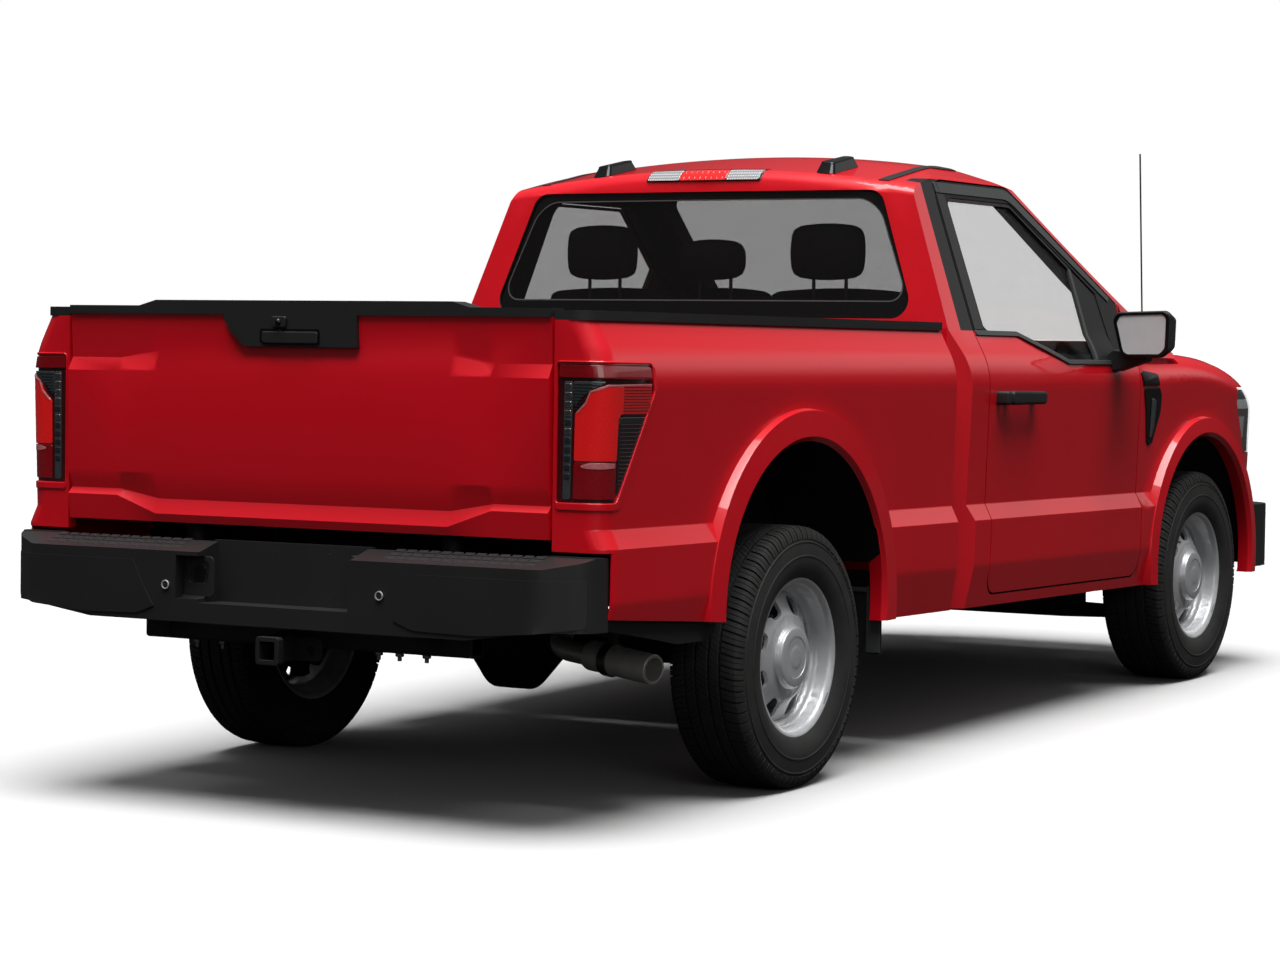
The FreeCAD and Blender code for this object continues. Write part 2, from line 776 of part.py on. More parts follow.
def make_fittings(side, turn):
    housing = prism("xz", [
        (d.mirror_rear, d.mirror_low, d.mirror_round), (d.mirror_rear, d.mirror_high, d.mirror_round),
        (d.mirror_front, d.mirror_high, d.mirror_round * 2), (d.mirror_front, d.mirror_low, d.mirror_round * 2),
    ], d.mirror_in, d.mirror_out)
    arm = prism("yz", [
        (d.door_in, d.mirror_arm_low), (d.mirror_in + d.mirror_round, d.mirror_arm_low),
        (d.mirror_in + d.mirror_round * 3, d.mirror_low + d.mirror_round),
        (d.mirror_in + d.mirror_round, d.mirror_low + d.mirror_round),
        (d.mirror_in, d.mirror_arm_high), (d.door_in, d.mirror_arm_high)], d.mirror_arm_rear, d.mirror_arm_front)
    grip = block(d.handle_rear, d.handle_front, d.door_in, d.handle_out, d.handle_low, d.handle_high)
    grip = grip.cut(block(d.handle_rear + d.handle_foot, d.handle_front - d.handle_foot, 0,
                          d.handle_out - d.handle_thick, 0, d.far))
    body = Part.makeCompound([housing.fuse(arm).cut(cab_outer), grip.cut(cab_outer)])
    if turn:
        body = mirrored(body)
    add("mirror_and_handle_" + side, body)


make_fittings("left", False)
make_fittings("right", True)

# Front: the outer form that the hood, fenders, lamps and grille share

d.add(
    front_start=2492,
    front_run=1473,
    hood_height=1338,
    hood_half=790,
    dome_foot=430,
    dome_half=340,
    dome_round=60,
    hood_skin=28,
    hood_rear=3050,
    hood_rear_side=2945,
    hood_front=3925,
    hood_front_mid=3880,
    hood_front_mid_half=560,
    hood_front_side=3745,
    hood_front_side_half=770,
    hood_side_end=3560,
    hood_zone_low=1060,
    face_deep=50,
    fender_skin=6,
    lamp_low=915,
    lamp_high=1162,
    lamp_rear=3452,
    lamp_rear_low=3580,
    lamp_in=560,
    lamp_gap=4,
    grille_low=772,
    bumper_zone=3560,
    bumper_zone_high=725,
    front_arch_back=23,
    front_arch=455,
    front_flare=535,
    flare_out=1012,
    flare_lip=14,
    flare_fall=6,
    flare_root=960,
    arch_high=533,
)
# Each row: how far forward, the plan taper, the shoulder's height and round, the place and
# height of the edge inboard of it, the height at the hood's seam, and the dome's height
FRONT_SHARES = (
    (0.0, 0.0, 0.916, 0.83, 0.938, 0.987, 0.994, 1.005),
    (0.277, 0.0, 0.940, 0.46, 0.912, 0.963, 0.969, 1.0),
    (0.549, 0.0, 0.918, 0.40, 0.912, 0.943, 0.951, 0.985),
    (0.752, 0.025, 0.871, 0.40, 0.905, 0.901, 0.913, 0.960),
    (0.922, 0.131, 0.811, 0.36, 0.900, 0.845, 0.860, 0.918),
    (1.0, 0.333, 0.770, 0.30, 0.890, 0.806, 0.826, 0.878),
)
DOME_FOOT_SHARE = 0.55


def front_section(row, inset=0):
    along, taper, shoulder, bend, edge_out, edge_high, seam_high, dome_high = row
    keep_share = 1 - taper
    seam_z = seam_high * d.hood_height - inset
    dome_z = dome_high * d.hood_height - inset
    foot_z = seam_z + (dome_z - seam_z) * DOME_FOOT_SHARE
    return both([
        (d.sill_out * keep_share - inset, d.sill_low),
        (d.flank_out * keep_share - inset, d.flank_high, d.flank_round),
        (d.ledge_out * keep_share - inset, d.ledge_low),
        (d.tuck_out * keep_share - inset, d.ledge_top, d.tuck_round),
        (d.shoulder_out * keep_share - inset, shoulder * d.hood_height - inset / 2, bend * d.shoulder_round),
        (d.shoulder_out * edge_out * keep_share - inset, edge_high * d.hood_height - inset),
        (d.hood_half * keep_share, seam_z, d.dome_round),
        (d.dome_foot, foot_z, d.dome_round),
        (d.dome_half, dome_z, d.dome_round),
    ])


def front_form(inset=0):
    levels = [d.front_start + row[0] * d.front_run for row in FRONT_SHARES]
    levels[-1] -= inset
    return loft("yz", [front_section(row, inset) for row in FRONT_SHARES], levels)


def hood_plan(grow=0):
    """The hood's outline from above; its rear edge bows forward in the middle."""
    half = [
        (d.hood_rear_side - grow, d.hood_half + grow), (d.hood_side_end, d.hood_half + grow),
        (d.hood_front_side + grow, d.hood_front_side_half + grow),
        (d.hood_front_mid + grow, d.hood_front_mid_half + grow),
        (d.hood_front + grow, 0)]
    corners = [V(x, y, 0) for x, y in half]
    other = [V(p.x, -p.y, 0) for p in reversed(corners[:-1])]
    rear = Part.Arc(other[-1], V(d.hood_rear - grow, 0, 0), corners[0]).toShape()
    run = corners + other
    edges = [Part.makeLine(run[i], run[i + 1]) for i in range(len(run) - 1)]
    face = Part.Face(Part.Wire(edges + [rear]))
    face.translate(V(0, 0, d.hood_zone_low))
    return face.extrude(V(0, 0, d.top_high - d.hood_zone_low))


front_outer = front_form()
hood = front_outer.cut(front_form(d.hood_skin)).common(hood_plan())
arch_centre = (d.wheel_base - d.front_arch_back, d.arch_high)


def arch_rod(centre, radius, y_low=0):
    return rod(V(centre[0], y_low, centre[1]), V(centre[0], d.wide, centre[1]), radius)


def flare(centre, inner, outer):
    """A raised lip round a wheel arch, from the body's side out to its widest place."""
    half = [(d.flare_root, inner), (d.flare_out - d.flare_lip, inner), (d.flare_out, inner + d.flare_lip),
            (d.flare_out - d.flare_fall, outer - d.flare_lip), (d.flare_root, outer)]
    wire = Part.makePolygon([V(centre[0], y, centre[1] + r) for y, r in half + half[:1]])
    turned = Part.Face(wire).revolve(V(centre[0], 0, centre[1]), V(0, 1, 0), 360)
    return turned.common(block(0 - d.far, d.far * 2, 0, d.wide, d.sill_low, d.top_high))


lamp_zone = prism("xz", [(d.lamp_rear, d.lamp_high), (d.lamp_rear, d.lamp_high - d.dome_round),
                         (d.lamp_rear_low, d.lamp_low), (d.far * 2, d.lamp_low),
                         (d.far * 2, d.lamp_high)], d.lamp_in, d.wide)
lamp_grown = prism("xz", [(d.lamp_rear - d.lamp_gap, d.lamp_high + d.lamp_gap),
                          (d.lamp_rear - d.lamp_gap, d.lamp_high - d.dome_round),
                          (d.lamp_rear_low - d.lamp_gap, d.lamp_low - d.seat_gap), (d.far * 2, d.lamp_low - d.seat_gap),
                          (d.far * 2, d.lamp_high + d.lamp_gap)], d.lamp_in - d.seat_gap, d.wide)
hood_room = hood_plan(d.seam)
lamp = front_outer.cut(front_form(d.face_deep)).common(lamp_zone).cut(hood_room)
add("headlamps", Part.makeCompound([lamp, mirrored(lamp)]))

fender = front_outer.cut(front_form(d.fender_skin)).common(block(d.front_start, d.far * 2, 0, d.wide, 0, d.top_high))
fender = fender.cut([
    hood_room, block(0, d.far * 2, 0, d.lamp_in, 0, d.top_high), lamp_grown,
    block(0, d.hood_rear, 0, d.hood_half + d.seam, d.lamp_high, d.top_high),
    block(0, d.hood_rear_side - d.overrun * 2, 0, d.apron_half + d.seam / 2, d.nose_under - d.overrun * 4, d.top_high),
    block(d.bumper_zone, d.far * 2, 0, d.wide, 0, d.bumper_zone_high)])
fender = fender.fuse(flare(arch_centre, d.front_arch, d.front_flare))
fender = fender.cut(arch_rod(arch_centre, d.front_arch))
add("fender_left", fender)
add("fender_right", mirrored(fender))

zone = block(d.lamp_rear, d.far * 2, -d.lamp_in + d.seam, d.lamp_in - d.seam, d.grille_low, d.lamp_high + d.overrun)
grille = front_outer.cut(front_form(d.face_deep)).common(zone).cut(hood_room)
add("grille", grille)

# Hood with a lug over each hinge bracket on the cowl

d.add(
    hood_pin_x=2950,
    hood_pin_high=1256,
    hood_pin=5,
    hood_lug_in=700,
    hood_lug_thick=10,
    hood_lug_half=18,
    hood_gap=1,
    cowl_high=1240,
    cowl_thick=18,
    cowl_half=784,
)
hood_pin = V(d.hood_pin_x, 0, d.hood_pin_high)
lug = block(d.hood_pin_x - d.hood_lug_half / 3, d.hood_pin_x + d.hood_lug_half, d.hood_lug_in,
            d.hood_lug_in + d.hood_lug_thick, d.hood_pin_high - d.hood_lug_half / 2, d.hood_height)
lug = lug.common(front_form(d.hood_skin - d.hood_gap))
lug = lug.cut(rod(hood_pin, hood_pin + V(0, d.wide, 0), d.hood_pin + d.pin_gap))
add("hood", hood.fuse(pair(lug)))

cowl = block(d.firewall + d.firewall_thick + d.seat_gap, d.hood_rear, -d.cowl_half, d.cowl_half,
             d.cowl_high - d.cowl_thick, d.cowl_high)
cowl_front = hood_plan(d.seam)
cowl_front.translate(V(0, 0, d.cowl_high - d.cowl_thick - d.hood_zone_low - d.overrun))
cowl = cowl.cut(cowl_front)
post_in = d.hood_lug_in + d.hood_lug_thick + d.hood_gap
post = block(d.hood_rear_side - d.overrun, d.hood_pin_x + d.seam, post_in, post_in + d.hood_lug_thick,
             d.cowl_high - d.cowl_thick, d.hood_pin_high + d.seam)
post = post.fuse(rod(hood_pin + V(0, d.hood_lug_in, 0), hood_pin + V(0, post_in + d.hood_lug_thick, 0), d.hood_pin))
add("cowl_panel", cowl.fuse(pair(post)))

# Box: sides with their wheelhouses, floor with its front wall, and the rail caps

d.add(
    box_front=995,
    box_rear=1118,
    box_in=828,
    box_floor=831,
    box_sheet=15,
    box_skin=12,
    rail_high=1347,
    rail_cap=1373,
    rail_out=935,
    rear_arch_back=5,
    rear_arch=482,
    rear_flare=585,
    house_wall=8,
    house_in=642,
    house_low=640,
    corner_low=735,
    corner_rear=1085,
    lamp_tail_high=1236,
    lamp_tail_front=872,
    lamp_tail_front_high=1160,
    lamp_tail_foot=1048,
    lamp_tail_low=865,
    lamp_tail_in=838,
    floor_rear=1045,
    floor_rib=14,
    rib_half=48,
    rib_pitch=162,
    rib_count=7,
    wall_thick=20,
    sill_deep=55,
    sill_half=35,
    sill_gap=110,
    sill_reach=790,
    gate_half=820,
    gate_rear=1125,
    gate_front=1068,
    gate_low=765,
    gate_pivot_back=1092,
    gate_pivot_high=800,
    gate_pin=10,
    gate_pin_reach=30,
    tail_edge_rear=562,
    tail_edge_front=519,
    post_round=60,
    post_steps=4,
)
rear_centre = (-d.rear_arch_back, d.arch_high)
turns = [math.pi / 2 * step / d.post_steps for step in range(int(d.post_steps) + 1)]
rear_post = loft("yz", [side_section(d.post_round * (1 - math.sin(turn))) for turn in turns],
                 [d.post_round * (1 - math.cos(turn)) - d.box_rear for turn in turns], ruled=True)
side = rear_post.fuse(prism("yz", side_section(), d.post_round - d.box_rear, d.box_front))
side = side.common(block(-d.far, d.far, 0, d.wide, 0, d.rail_high))
hollow = prism("yz", side_section(d.box_skin), -d.corner_rear, d.box_front).common(
    block(-d.far, d.far, 0, d.wide, 0, d.box_floor - d.box_sheet * 2))
side = side.cut([block(-d.far, d.far, 0, d.box_in, d.box_floor - d.box_sheet * 2, d.top_high), hollow,
                 block(-d.far, -d.corner_rear, 0, d.box_in, 0, d.top_high)])
tail_zone = prism("xz", [
    (-d.far, d.lamp_tail_high), (-d.lamp_tail_front, d.lamp_tail_high - d.seam),
    (-d.lamp_tail_front + d.seam, d.lamp_tail_front_high), (-d.lamp_tail_foot, d.lamp_tail_low),
    (-d.far, d.lamp_tail_low)], d.lamp_tail_in, d.wide)
tail_lamp = side.common(tail_zone)
side = side.cut([
    tail_zone, block(-d.far, -d.corner_rear, 0, d.wide, 0, d.corner_low)])
side = side.fuse(flare(rear_centre, d.rear_arch, d.rear_flare))
tail_edge = [(-d.box_rear, d.tail_edge_rear), (-d.rear_arch, d.tail_edge_front)]
side = side.cut([arch_rod(rear_centre, d.rear_arch), prism("xz", tail_edge + [
    (-d.rear_arch, 0), (-d.box_rear, 0)], d.flare_root, d.wide)])
house = arch_rod(rear_centre, d.rear_arch + d.house_wall, d.house_in).cut(
    arch_rod(rear_centre, d.rear_arch, d.house_in + d.house_wall))
house = house.common(block(-d.far, d.far, 0, d.tuck_out - d.box_skin, d.house_low, d.top_high))
gate_pin = rod(V(-d.gate_pivot_back, d.box_in + d.seam, d.gate_pivot_high),
               V(-d.gate_pivot_back, d.gate_half - d.gate_pin_reach, d.gate_pivot_high), d.gate_pin)
side = side.fuse([house, gate_pin])
add("box_side_left", side)
add("box_side_right", mirrored(side))
add("tail_lamps", Part.makeCompound([tail_lamp, mirrored(tail_lamp)]))

floor = Body("box_floor")
plate = floor.sketch("XY_Plane", rect("-floor_rear", "box_front - seat_gap", "-(box_in - seat_gap)", "box_in - seat_gap"),
                     [], "box_floor - box_sheet")
floor.pad(plate, "box_sheet")
wall = floor.sketch("YZ_Plane", rect("-(box_in - seat_gap)", "box_in - seat_gap", "box_floor", "rail_high"),
                    [], "box_front - wall_thick")
floor.pad(wall, "wall_thick - seat_gap")
for name, place in (("rear_sill", "-floor_rear + sill_half"), ("mid_sill", "-(rear_arch + sill_gap)"),
                    ("front_sill", "rear_arch + sill_gap"), ("head_sill", "box_front - wall_thick - sill_half")):
    beam = floor.sketch("XZ_Plane", rect(place + " - sill_half", place + " + sill_half",
                                         "box_floor - box_sheet - sill_deep", "box_floor - box_sheet"))
    floor.pad(beam, "sill_reach * 2", True)
rib = floor.sketch("XY_Plane", rect(
    "-(floor_rear - rib_half)", "box_front - wall_thick - rib_half",
    "-rib_half - rib_pitch * (rib_count - 1) / 2", "rib_half - rib_pitch * (rib_count - 1) / 2"), [], "box_floor")
first = floor.pad(rib, "floor_rib")
floor.row(first, "Y_Axis", "rib_pitch * (rib_count - 1)", int(d.rib_count))
for sign in ("", "-"):
    notch = floor.sketch("XZ_Plane", [], [("-rear_arch_back", "arch_high", "rear_arch + house_wall + seat_gap")],
                         "-(" + sign + "(house_in - seat_gap))")
    floor.pocket(notch, "wide", reverse=(sign == "-"))

cap = prism("xy", [(-d.box_rear, d.box_in), (-d.box_rear, d.rail_out, d.post_round), (d.box_front, d.rail_out),
                   (d.box_front, d.box_in)], d.rail_high, d.rail_cap)
head = block(d.box_front - d.wall_thick * 2, d.box_front, -d.box_in - d.overrun, d.box_in + d.overrun, d.rail_high, d.rail_cap)
add("box_rail_caps", cap.fuse([mirrored(cap), head]))

# Tailgate with its top cap

d.add(
    gate_top=1354,
    gate_top_rear=1121,
    gate_recess=1113,
    gate_crease_rear=1133,
    gate_flat_rear=1128,
    gate_step_rear=1111,
    gate_low_rear=1128,
    gate_band=1251,
    gate_band_side=1229,
    gate_crease=1192,
    gate_flat_low=905,
    gate_step=830,
    gate_step_side=854,
    gate_lip=788,
    gate_lip_side=836,
    gate_ramp_in=500,
    gate_ramp_out=640,
)


def gate_section(band, step, lip):
    """The tailgate's side view: its crease and the step under the flat middle."""
    return [
        (-d.gate_front, d.gate_low), (-d.gate_front, d.gate_top), (-d.gate_top_rear, d.gate_top),
        (-d.gate_recess, band), (-d.gate_crease_rear, d.gate_crease), (-d.gate_flat_rear, d.gate_flat_low),
        (-d.gate_step_rear, step), (-d.gate_low_rear, lip), (-d.gate_top_rear, d.gate_low)]


gate_end = gate_section(d.gate_band_side, d.gate_step_side, d.gate_lip_side)
gate_middle = gate_section(d.gate_band, d.gate_step, d.gate_lip)
gate = loft("xz", [gate_end, gate_end, gate_middle, gate_middle, gate_end, gate_end],
            [-d.gate_half, -d.gate_ramp_out, -d.gate_ramp_in, d.gate_ramp_in, d.gate_ramp_out, d.gate_half], True)
for turn in (1, -1):
    gate = gate.cut(rod(V(-d.gate_pivot_back, turn * (d.gate_half + d.seam), d.gate_pivot_high),
                        V(-d.gate_pivot_back, turn * (d.gate_half - d.gate_pin_reach - d.seam), d.gate_pivot_high),
                        d.gate_pin + d.pin_gap))
add("tailgate", gate)
d.add(
    bezel_left=257,
    bezel_left_high=1340,
    bezel_bend=233,
    bezel_bend_high=1306,
    bezel_left_low=186,
    bezel_right=196,
    bezel_low=1266,
    bezel_rear=1133,
    cap_end=1378,
    cap_middle=1394,
    cap_ramp_in=505,
    cap_ramp_out=565,
    cap_proud=7,
)
bezel = prism("yz", [
    (d.bezel_left, d.gate_top), (d.bezel_left, d.bezel_left_high), (d.bezel_bend, d.bezel_bend_high),
    (d.bezel_left_low, d.bezel_low), (-d.bezel_right, d.bezel_low), (-d.bezel_right, d.gate_top)],
    -d.bezel_rear, -d.gate_front - d.cap_proud).cut(gate)
top = prism("yz", both([(d.gate_half, d.gate_top), (d.gate_half, d.cap_end), (d.cap_ramp_out, d.cap_end),
                        (d.cap_ramp_in, d.cap_middle)]),
            -d.gate_top_rear - d.cap_proud, -d.gate_front + d.cap_proud)
add("tailgate_cap", top.fuse(bezel))

# Rear bumper, receiver and licence plate mount

d.add(
    rear_bumper_face=1243,
    rear_bumper_deep=95,
    rear_bumper_low=497,
    rear_bumper_high=724,
    rear_bumper_half=985,
    rear_corner_half=850,
    rear_corner_round=80,
    rear_bumper_turn=1165,
    rear_bumper_turn_half=975,
    rear_mid_half=330,
    step_edge=693,
    step_edge_back=1232,
    step_front=1140,
    step_front_high=722,
    end_rise=30,
    end_rise_half=640,
    bay_half=257,
    bay_back=1150,
    bay_wall=14,
    lip_high=552,
    socket_in=222,
    socket_out=333,
    socket_low=562,
    socket_high=682,
    socket_round=14,
    socket_deep=38,
    plate_left=112,
    plate_right=192,
    plate_low=566,
    plate_high=703,
    plate_deep=6,
    rail_in=405,
    rail_outer=475,
    rail_tall=140,
    rail_rear=1100,
    rail_rear_high=645,
    rail_kick_high=690,
    rail_mid_high=560,
    rail_front_high=610,
    rail_front=3930,
    kick_start=420,
    kick_end=800,
    horn_start=2620,
    horn_rise=2900,
    plate_bolt_half=88.9,
    plate_bolt_low=577,
    plate_bolt_high=698,
    plate_bolt=4,
)


def bumper_plan():
    return both_y([
        (-d.corner_rear, d.rear_bumper_half),
        (-d.rear_bumper_turn, d.rear_bumper_turn_half, d.rear_corner_round),
        (-d.rear_bumper_face, d.rear_corner_half, d.rear_corner_round),
        (-d.rear_bumper_face, d.rear_mid_half)])


def bumper_hollow():
    deep = d.rear_bumper_deep
    return both_y([
        (-d.corner_rear + d.overrun, d.rear_bumper_half - deep),
        (-d.rear_bumper_face + deep, d.rear_corner_half - deep / 2),
        (-d.rear_bumper_face + deep, d.rear_mid_half)])


rear_bumper = prism("xy", bumper_plan(), d.rear_bumper_low, d.rear_bumper_high).cut(
    prism("xy", bumper_hollow(), d.rear_bumper_low - d.overrun, d.rear_bumper_high + d.overrun))
rear_bumper = rear_bumper.cut(block(-d.gate_front, d.far, -d.wide, d.wide, 0, d.far))
past = -d.rear_bumper_face - d.overrun
under = d.rear_bumper_low - d.overrun
rear_bumper = rear_bumper.cut([
    prism("xz", [(past, d.step_edge), (-d.step_edge_back, d.step_edge), (-d.step_front, d.step_front_high),
                 (-d.step_front, d.far), (past, d.far)], -d.wide, d.wide),
    block(past, -d.bay_back, -d.bay_half, d.bay_half, d.lip_high, d.far),
    prism("xz", [(past, d.socket_low), (past, d.socket_high),
                 (d.socket_deep - d.rear_bumper_face, d.socket_high, d.socket_round),
                 (d.socket_deep - d.rear_bumper_face, d.socket_low, d.socket_round)], d.socket_in, d.socket_out),
    pair(prism("yz", [(d.end_rise_half, under), (d.wide, under), (d.wide, d.rear_bumper_low + d.end_rise),
                      (d.rear_corner_half, d.rear_bumper_low + d.end_rise),
                      (d.end_rise_half, d.rear_bumper_low)], -d.far, d.far))])
bay = block(-d.bay_back, -d.bay_back + d.bay_wall, -d.bay_half - d.bay_wall, d.bay_half + d.bay_wall,
            d.lip_high - d.bay_wall, d.rear_bumper_high)
bay = bay.cut(block(-d.bay_back, -d.bay_back + d.plate_deep, -d.plate_right, d.plate_left, d.plate_low, d.plate_high))
plate_middle = (d.plate_left - d.plate_right) / 2
bolts = [rod(V(-d.rear_bumper_face, plate_middle + half * d.plate_bolt_half, high),
             V(-d.gate_rear, plate_middle + half * d.plate_bolt_half, high), d.plate_bolt)
         for half in (1, -1) for high in (d.plate_bolt_low, d.plate_bolt_high)]
horns = pair(block(-d.rear_bumper_face + d.rear_bumper_deep / 2, -d.rail_rear - d.seat_gap, d.rail_in, d.rail_outer,
                   d.rail_rear_high - d.rail_tall, d.rail_rear_high))
add("rear_bumper", rear_bumper.fuse([bay, horns]).cut(bolts))

# Ladder frame: two rails that kick up over the axle, crossmembers and mount pads

frame = Body("ladder_frame")
rail = frame.sketch("XZ_Plane", [
    ("-rail_rear", "rail_rear_high"), ("-kick_start", "rail_kick_high"), ("kick_start", "rail_kick_high"),
    ("kick_end", "rail_mid_high"), ("horn_start", "rail_mid_high"), ("horn_rise", "rail_front_high"),
    ("rail_front", "rail_front_high"), ("rail_front", "rail_front_high - rail_tall"),
    ("horn_rise", "rail_front_high - rail_tall"), ("horn_start", "rail_mid_high - rail_tall"),
    ("kick_end", "rail_mid_high - rail_tall"), ("kick_start", "rail_kick_high - rail_tall"),
    ("-kick_start", "rail_kick_high - rail_tall"), ("-rail_rear", "rail_rear_high - rail_tall"),
], [], "rail_in")
first = frame.pad(rail, "rail_outer - rail_in")
frame.mirror([first])
d.add(cross_half=40, cross_tall=60, pad_radius=32, bumper_clear=16, cab_mount_rear=1160, cab_mount_front=2440)
for place, top in (("-rail_rear + cross_half", "rail_rear_high"), ("kick_start", "rail_kick_high"),
                   ("kick_end + cross_half", "rail_mid_high"), ("horn_start - cross_half * 3", "rail_mid_high - rail_tall + cross_tall / 2"),
                   ("rail_front - cross_half * 5", "rail_front_high - cross_tall")):
    member = frame.sketch("XZ_Plane", rect(place + " - cross_half", place + " + cross_half", top + " - cross_tall", top))
    frame.pad(member, "(rail_in + seam) * 2", True)
for base, rise, places in (
        ("rail_mid_high", "floor_under - rail_mid_high - seat_gap", ("cab_mount_rear", "cab_mount_front")),
        ("rail_mid_high", "box_floor - box_sheet - sill_deep - rail_mid_high - seat_gap",
         ("box_front - wall_thick - sill_half",)),
        ("rail_kick_high - seam * 8", "box_floor - box_sheet - sill_deep - rail_kick_high + seam * 8 - seat_gap",
         ("-floor_rear + sill_half", "-(rear_arch + sill_gap)"))):
    mounts = frame.sketch("XY_Plane", [], [
        (place, sign + "(rail_in + rail_outer) / 2", "pad_radius") for place in places for sign in ("", "-")], base)
    frame.pad(mounts, rise)

# Receiver hitch under the bumper

d.add(
    socket_half=25.4,
    receiver_half=31.75,
    receiver_rear=1262,
    receiver_front=1062,
    receiver_high=433,
    hitch_tube_half=30,
    hitch_pin_radius=7.94,
    hitch_pin_back=1225,
)
hitch = Body("hitch_receiver")
tube = hitch.sketch("YZ_Plane", rect("-receiver_half", "receiver_half", "receiver_high - receiver_half",
                                     "receiver_high + receiver_half"), [], "-receiver_rear")
hitch.pad(tube, "receiver_rear - receiver_front")
cross = hitch.sketch("XZ_Plane", rect("-receiver_front - hitch_tube_half", "-receiver_front + hitch_tube_half",
                                      "receiver_high - hitch_tube_half", "receiver_high + hitch_tube_half"))
hitch.pad(cross, "rail_outer * 2", True)
plates = hitch.sketch("YZ_Plane", rect("rail_in", "rail_outer", "receiver_high", "rail_rear_high - rail_tall - seat_gap"),
                      [], "-receiver_front - hitch_tube_half")
hitch.pad(plates, "hitch_tube_half * 2")
plates = hitch.sketch("YZ_Plane", rect("-rail_outer", "-rail_in", "receiver_high", "rail_rear_high - rail_tall - seat_gap"),
                      [], "-receiver_front - hitch_tube_half")
hitch.pad(plates, "hitch_tube_half * 2")
socket = hitch.sketch("YZ_Plane", rect("-socket_half", "socket_half", "receiver_high - socket_half",
                                       "receiver_high + socket_half"), [], "-receiver_rear")
hitch.pocket(socket, "receiver_rear - receiver_front - hitch_tube_half", reverse=True)
pin = hitch.sketch("XZ_Plane", [], [("-hitch_pin_back", "receiver_high", "hitch_pin_radius")])
hitch.pocket(pin, "receiver_half * 4", True)

# Front bumper, radiator with its support, and the engine with its gearbox

d.add(
    bumper_face=4059,
    bumper_face_half=330,
    bumper_knee=3965,
    bumper_knee_half=800,
    bumper_knee_round=220,
    bumper_end=3612,
    bumper_end_half=996,
    bumper_turn=3820,
    bumper_turn_half=990,
    bumper_deep=70,
    bumper_low=482,
    intake_half=520,
    intake_low=535,
    intake_high=620,
    radiator_x=3700,
    radiator_thick=45,
    radiator_half=380,
    radiator_low=611,
    radiator_high=1075,
    support_low=1085,
    support_high=1110,
    support_half=780,
    engine_rear=2950,
    engine_front=3560,
    engine_half=320,
    engine_low=500,
    engine_high=1130,
    gearbox_rear=1950,
    gearbox_half=150,
    engine_mount_half=40,
    engine_mount_low=540,
    engine_mount_high=600,
    gearbox_high=555,
)


def front_bumper_plan(deep):
    return both_y([
        (d.bumper_end, d.bumper_end_half - deep), (d.bumper_turn, d.bumper_turn_half - deep, d.bumper_knee_round - deep),
        (d.bumper_knee - deep, d.bumper_knee_half - deep, d.bumper_knee_round),
        (d.bumper_face - deep, d.bumper_face_half)])


bumper = prism("xy", front_bumper_plan(0), d.bumper_low, d.bumper_zone_high - d.seam).cut(
    prism("xy", front_bumper_plan(d.bumper_deep), 0, d.far))
bumper = bumper.cut([
    block(0, d.bumper_end, -d.wide, d.wide, 0, d.far),
    block(d.bumper_knee, d.far * 2, -d.intake_half, d.intake_half, d.intake_low, d.intake_high),
    pair(arch_rod(arch_centre, d.front_flare + d.seam))])
bracket = block(d.rail_front + d.seat_gap, d.bumper_face - d.bumper_deep, d.rail_in, d.rail_outer,
                d.rail_front_high - d.rail_tall / 2, d.bumper_zone_high - d.seam * 3)
add("front_bumper", bumper.fuse(pair(bracket)))
core = block(d.radiator_x, d.radiator_x + d.radiator_thick, -d.radiator_half, d.radiator_half,
             d.radiator_low, d.support_low)
feet = pair(block(d.radiator_x, d.radiator_x + d.radiator_thick, d.radiator_half, d.rail_outer,
                  d.rail_front_high + d.seat_gap, d.radiator_high))
bar = front_form(d.face_deep + d.seat_gap).common(
    block(d.radiator_x, d.far * 2, -d.support_half, d.support_half, d.support_low, d.support_high))
bar = bar.cut(hood_plan(d.seam).common(block(0, d.far * 2, -d.wide, d.wide, d.support_high, d.far)))
add("radiator", core.fuse([feet, bar]))
engine = block(d.engine_rear, d.engine_front, -d.engine_half, d.engine_half, d.engine_low, d.engine_high)
gearbox_low = d.rail_mid_high - d.rail_tall + d.cross_tall / 2 + d.seat_gap
gearbox = block(d.gearbox_rear, d.engine_rear, -d.gearbox_half, d.gearbox_half, gearbox_low, d.gearbox_high)
engine_middle = (d.engine_rear + d.engine_front) / 2
engine_mounts = block(engine_middle - d.engine_mount_half, engine_middle + d.engine_mount_half,
                      -d.rail_in + d.seat_gap, d.rail_in - d.seat_gap, d.engine_mount_low, d.engine_mount_high)
add("engine_block", engine.fuse([gearbox, engine_mounts]))

# Wheel liners and mud flaps

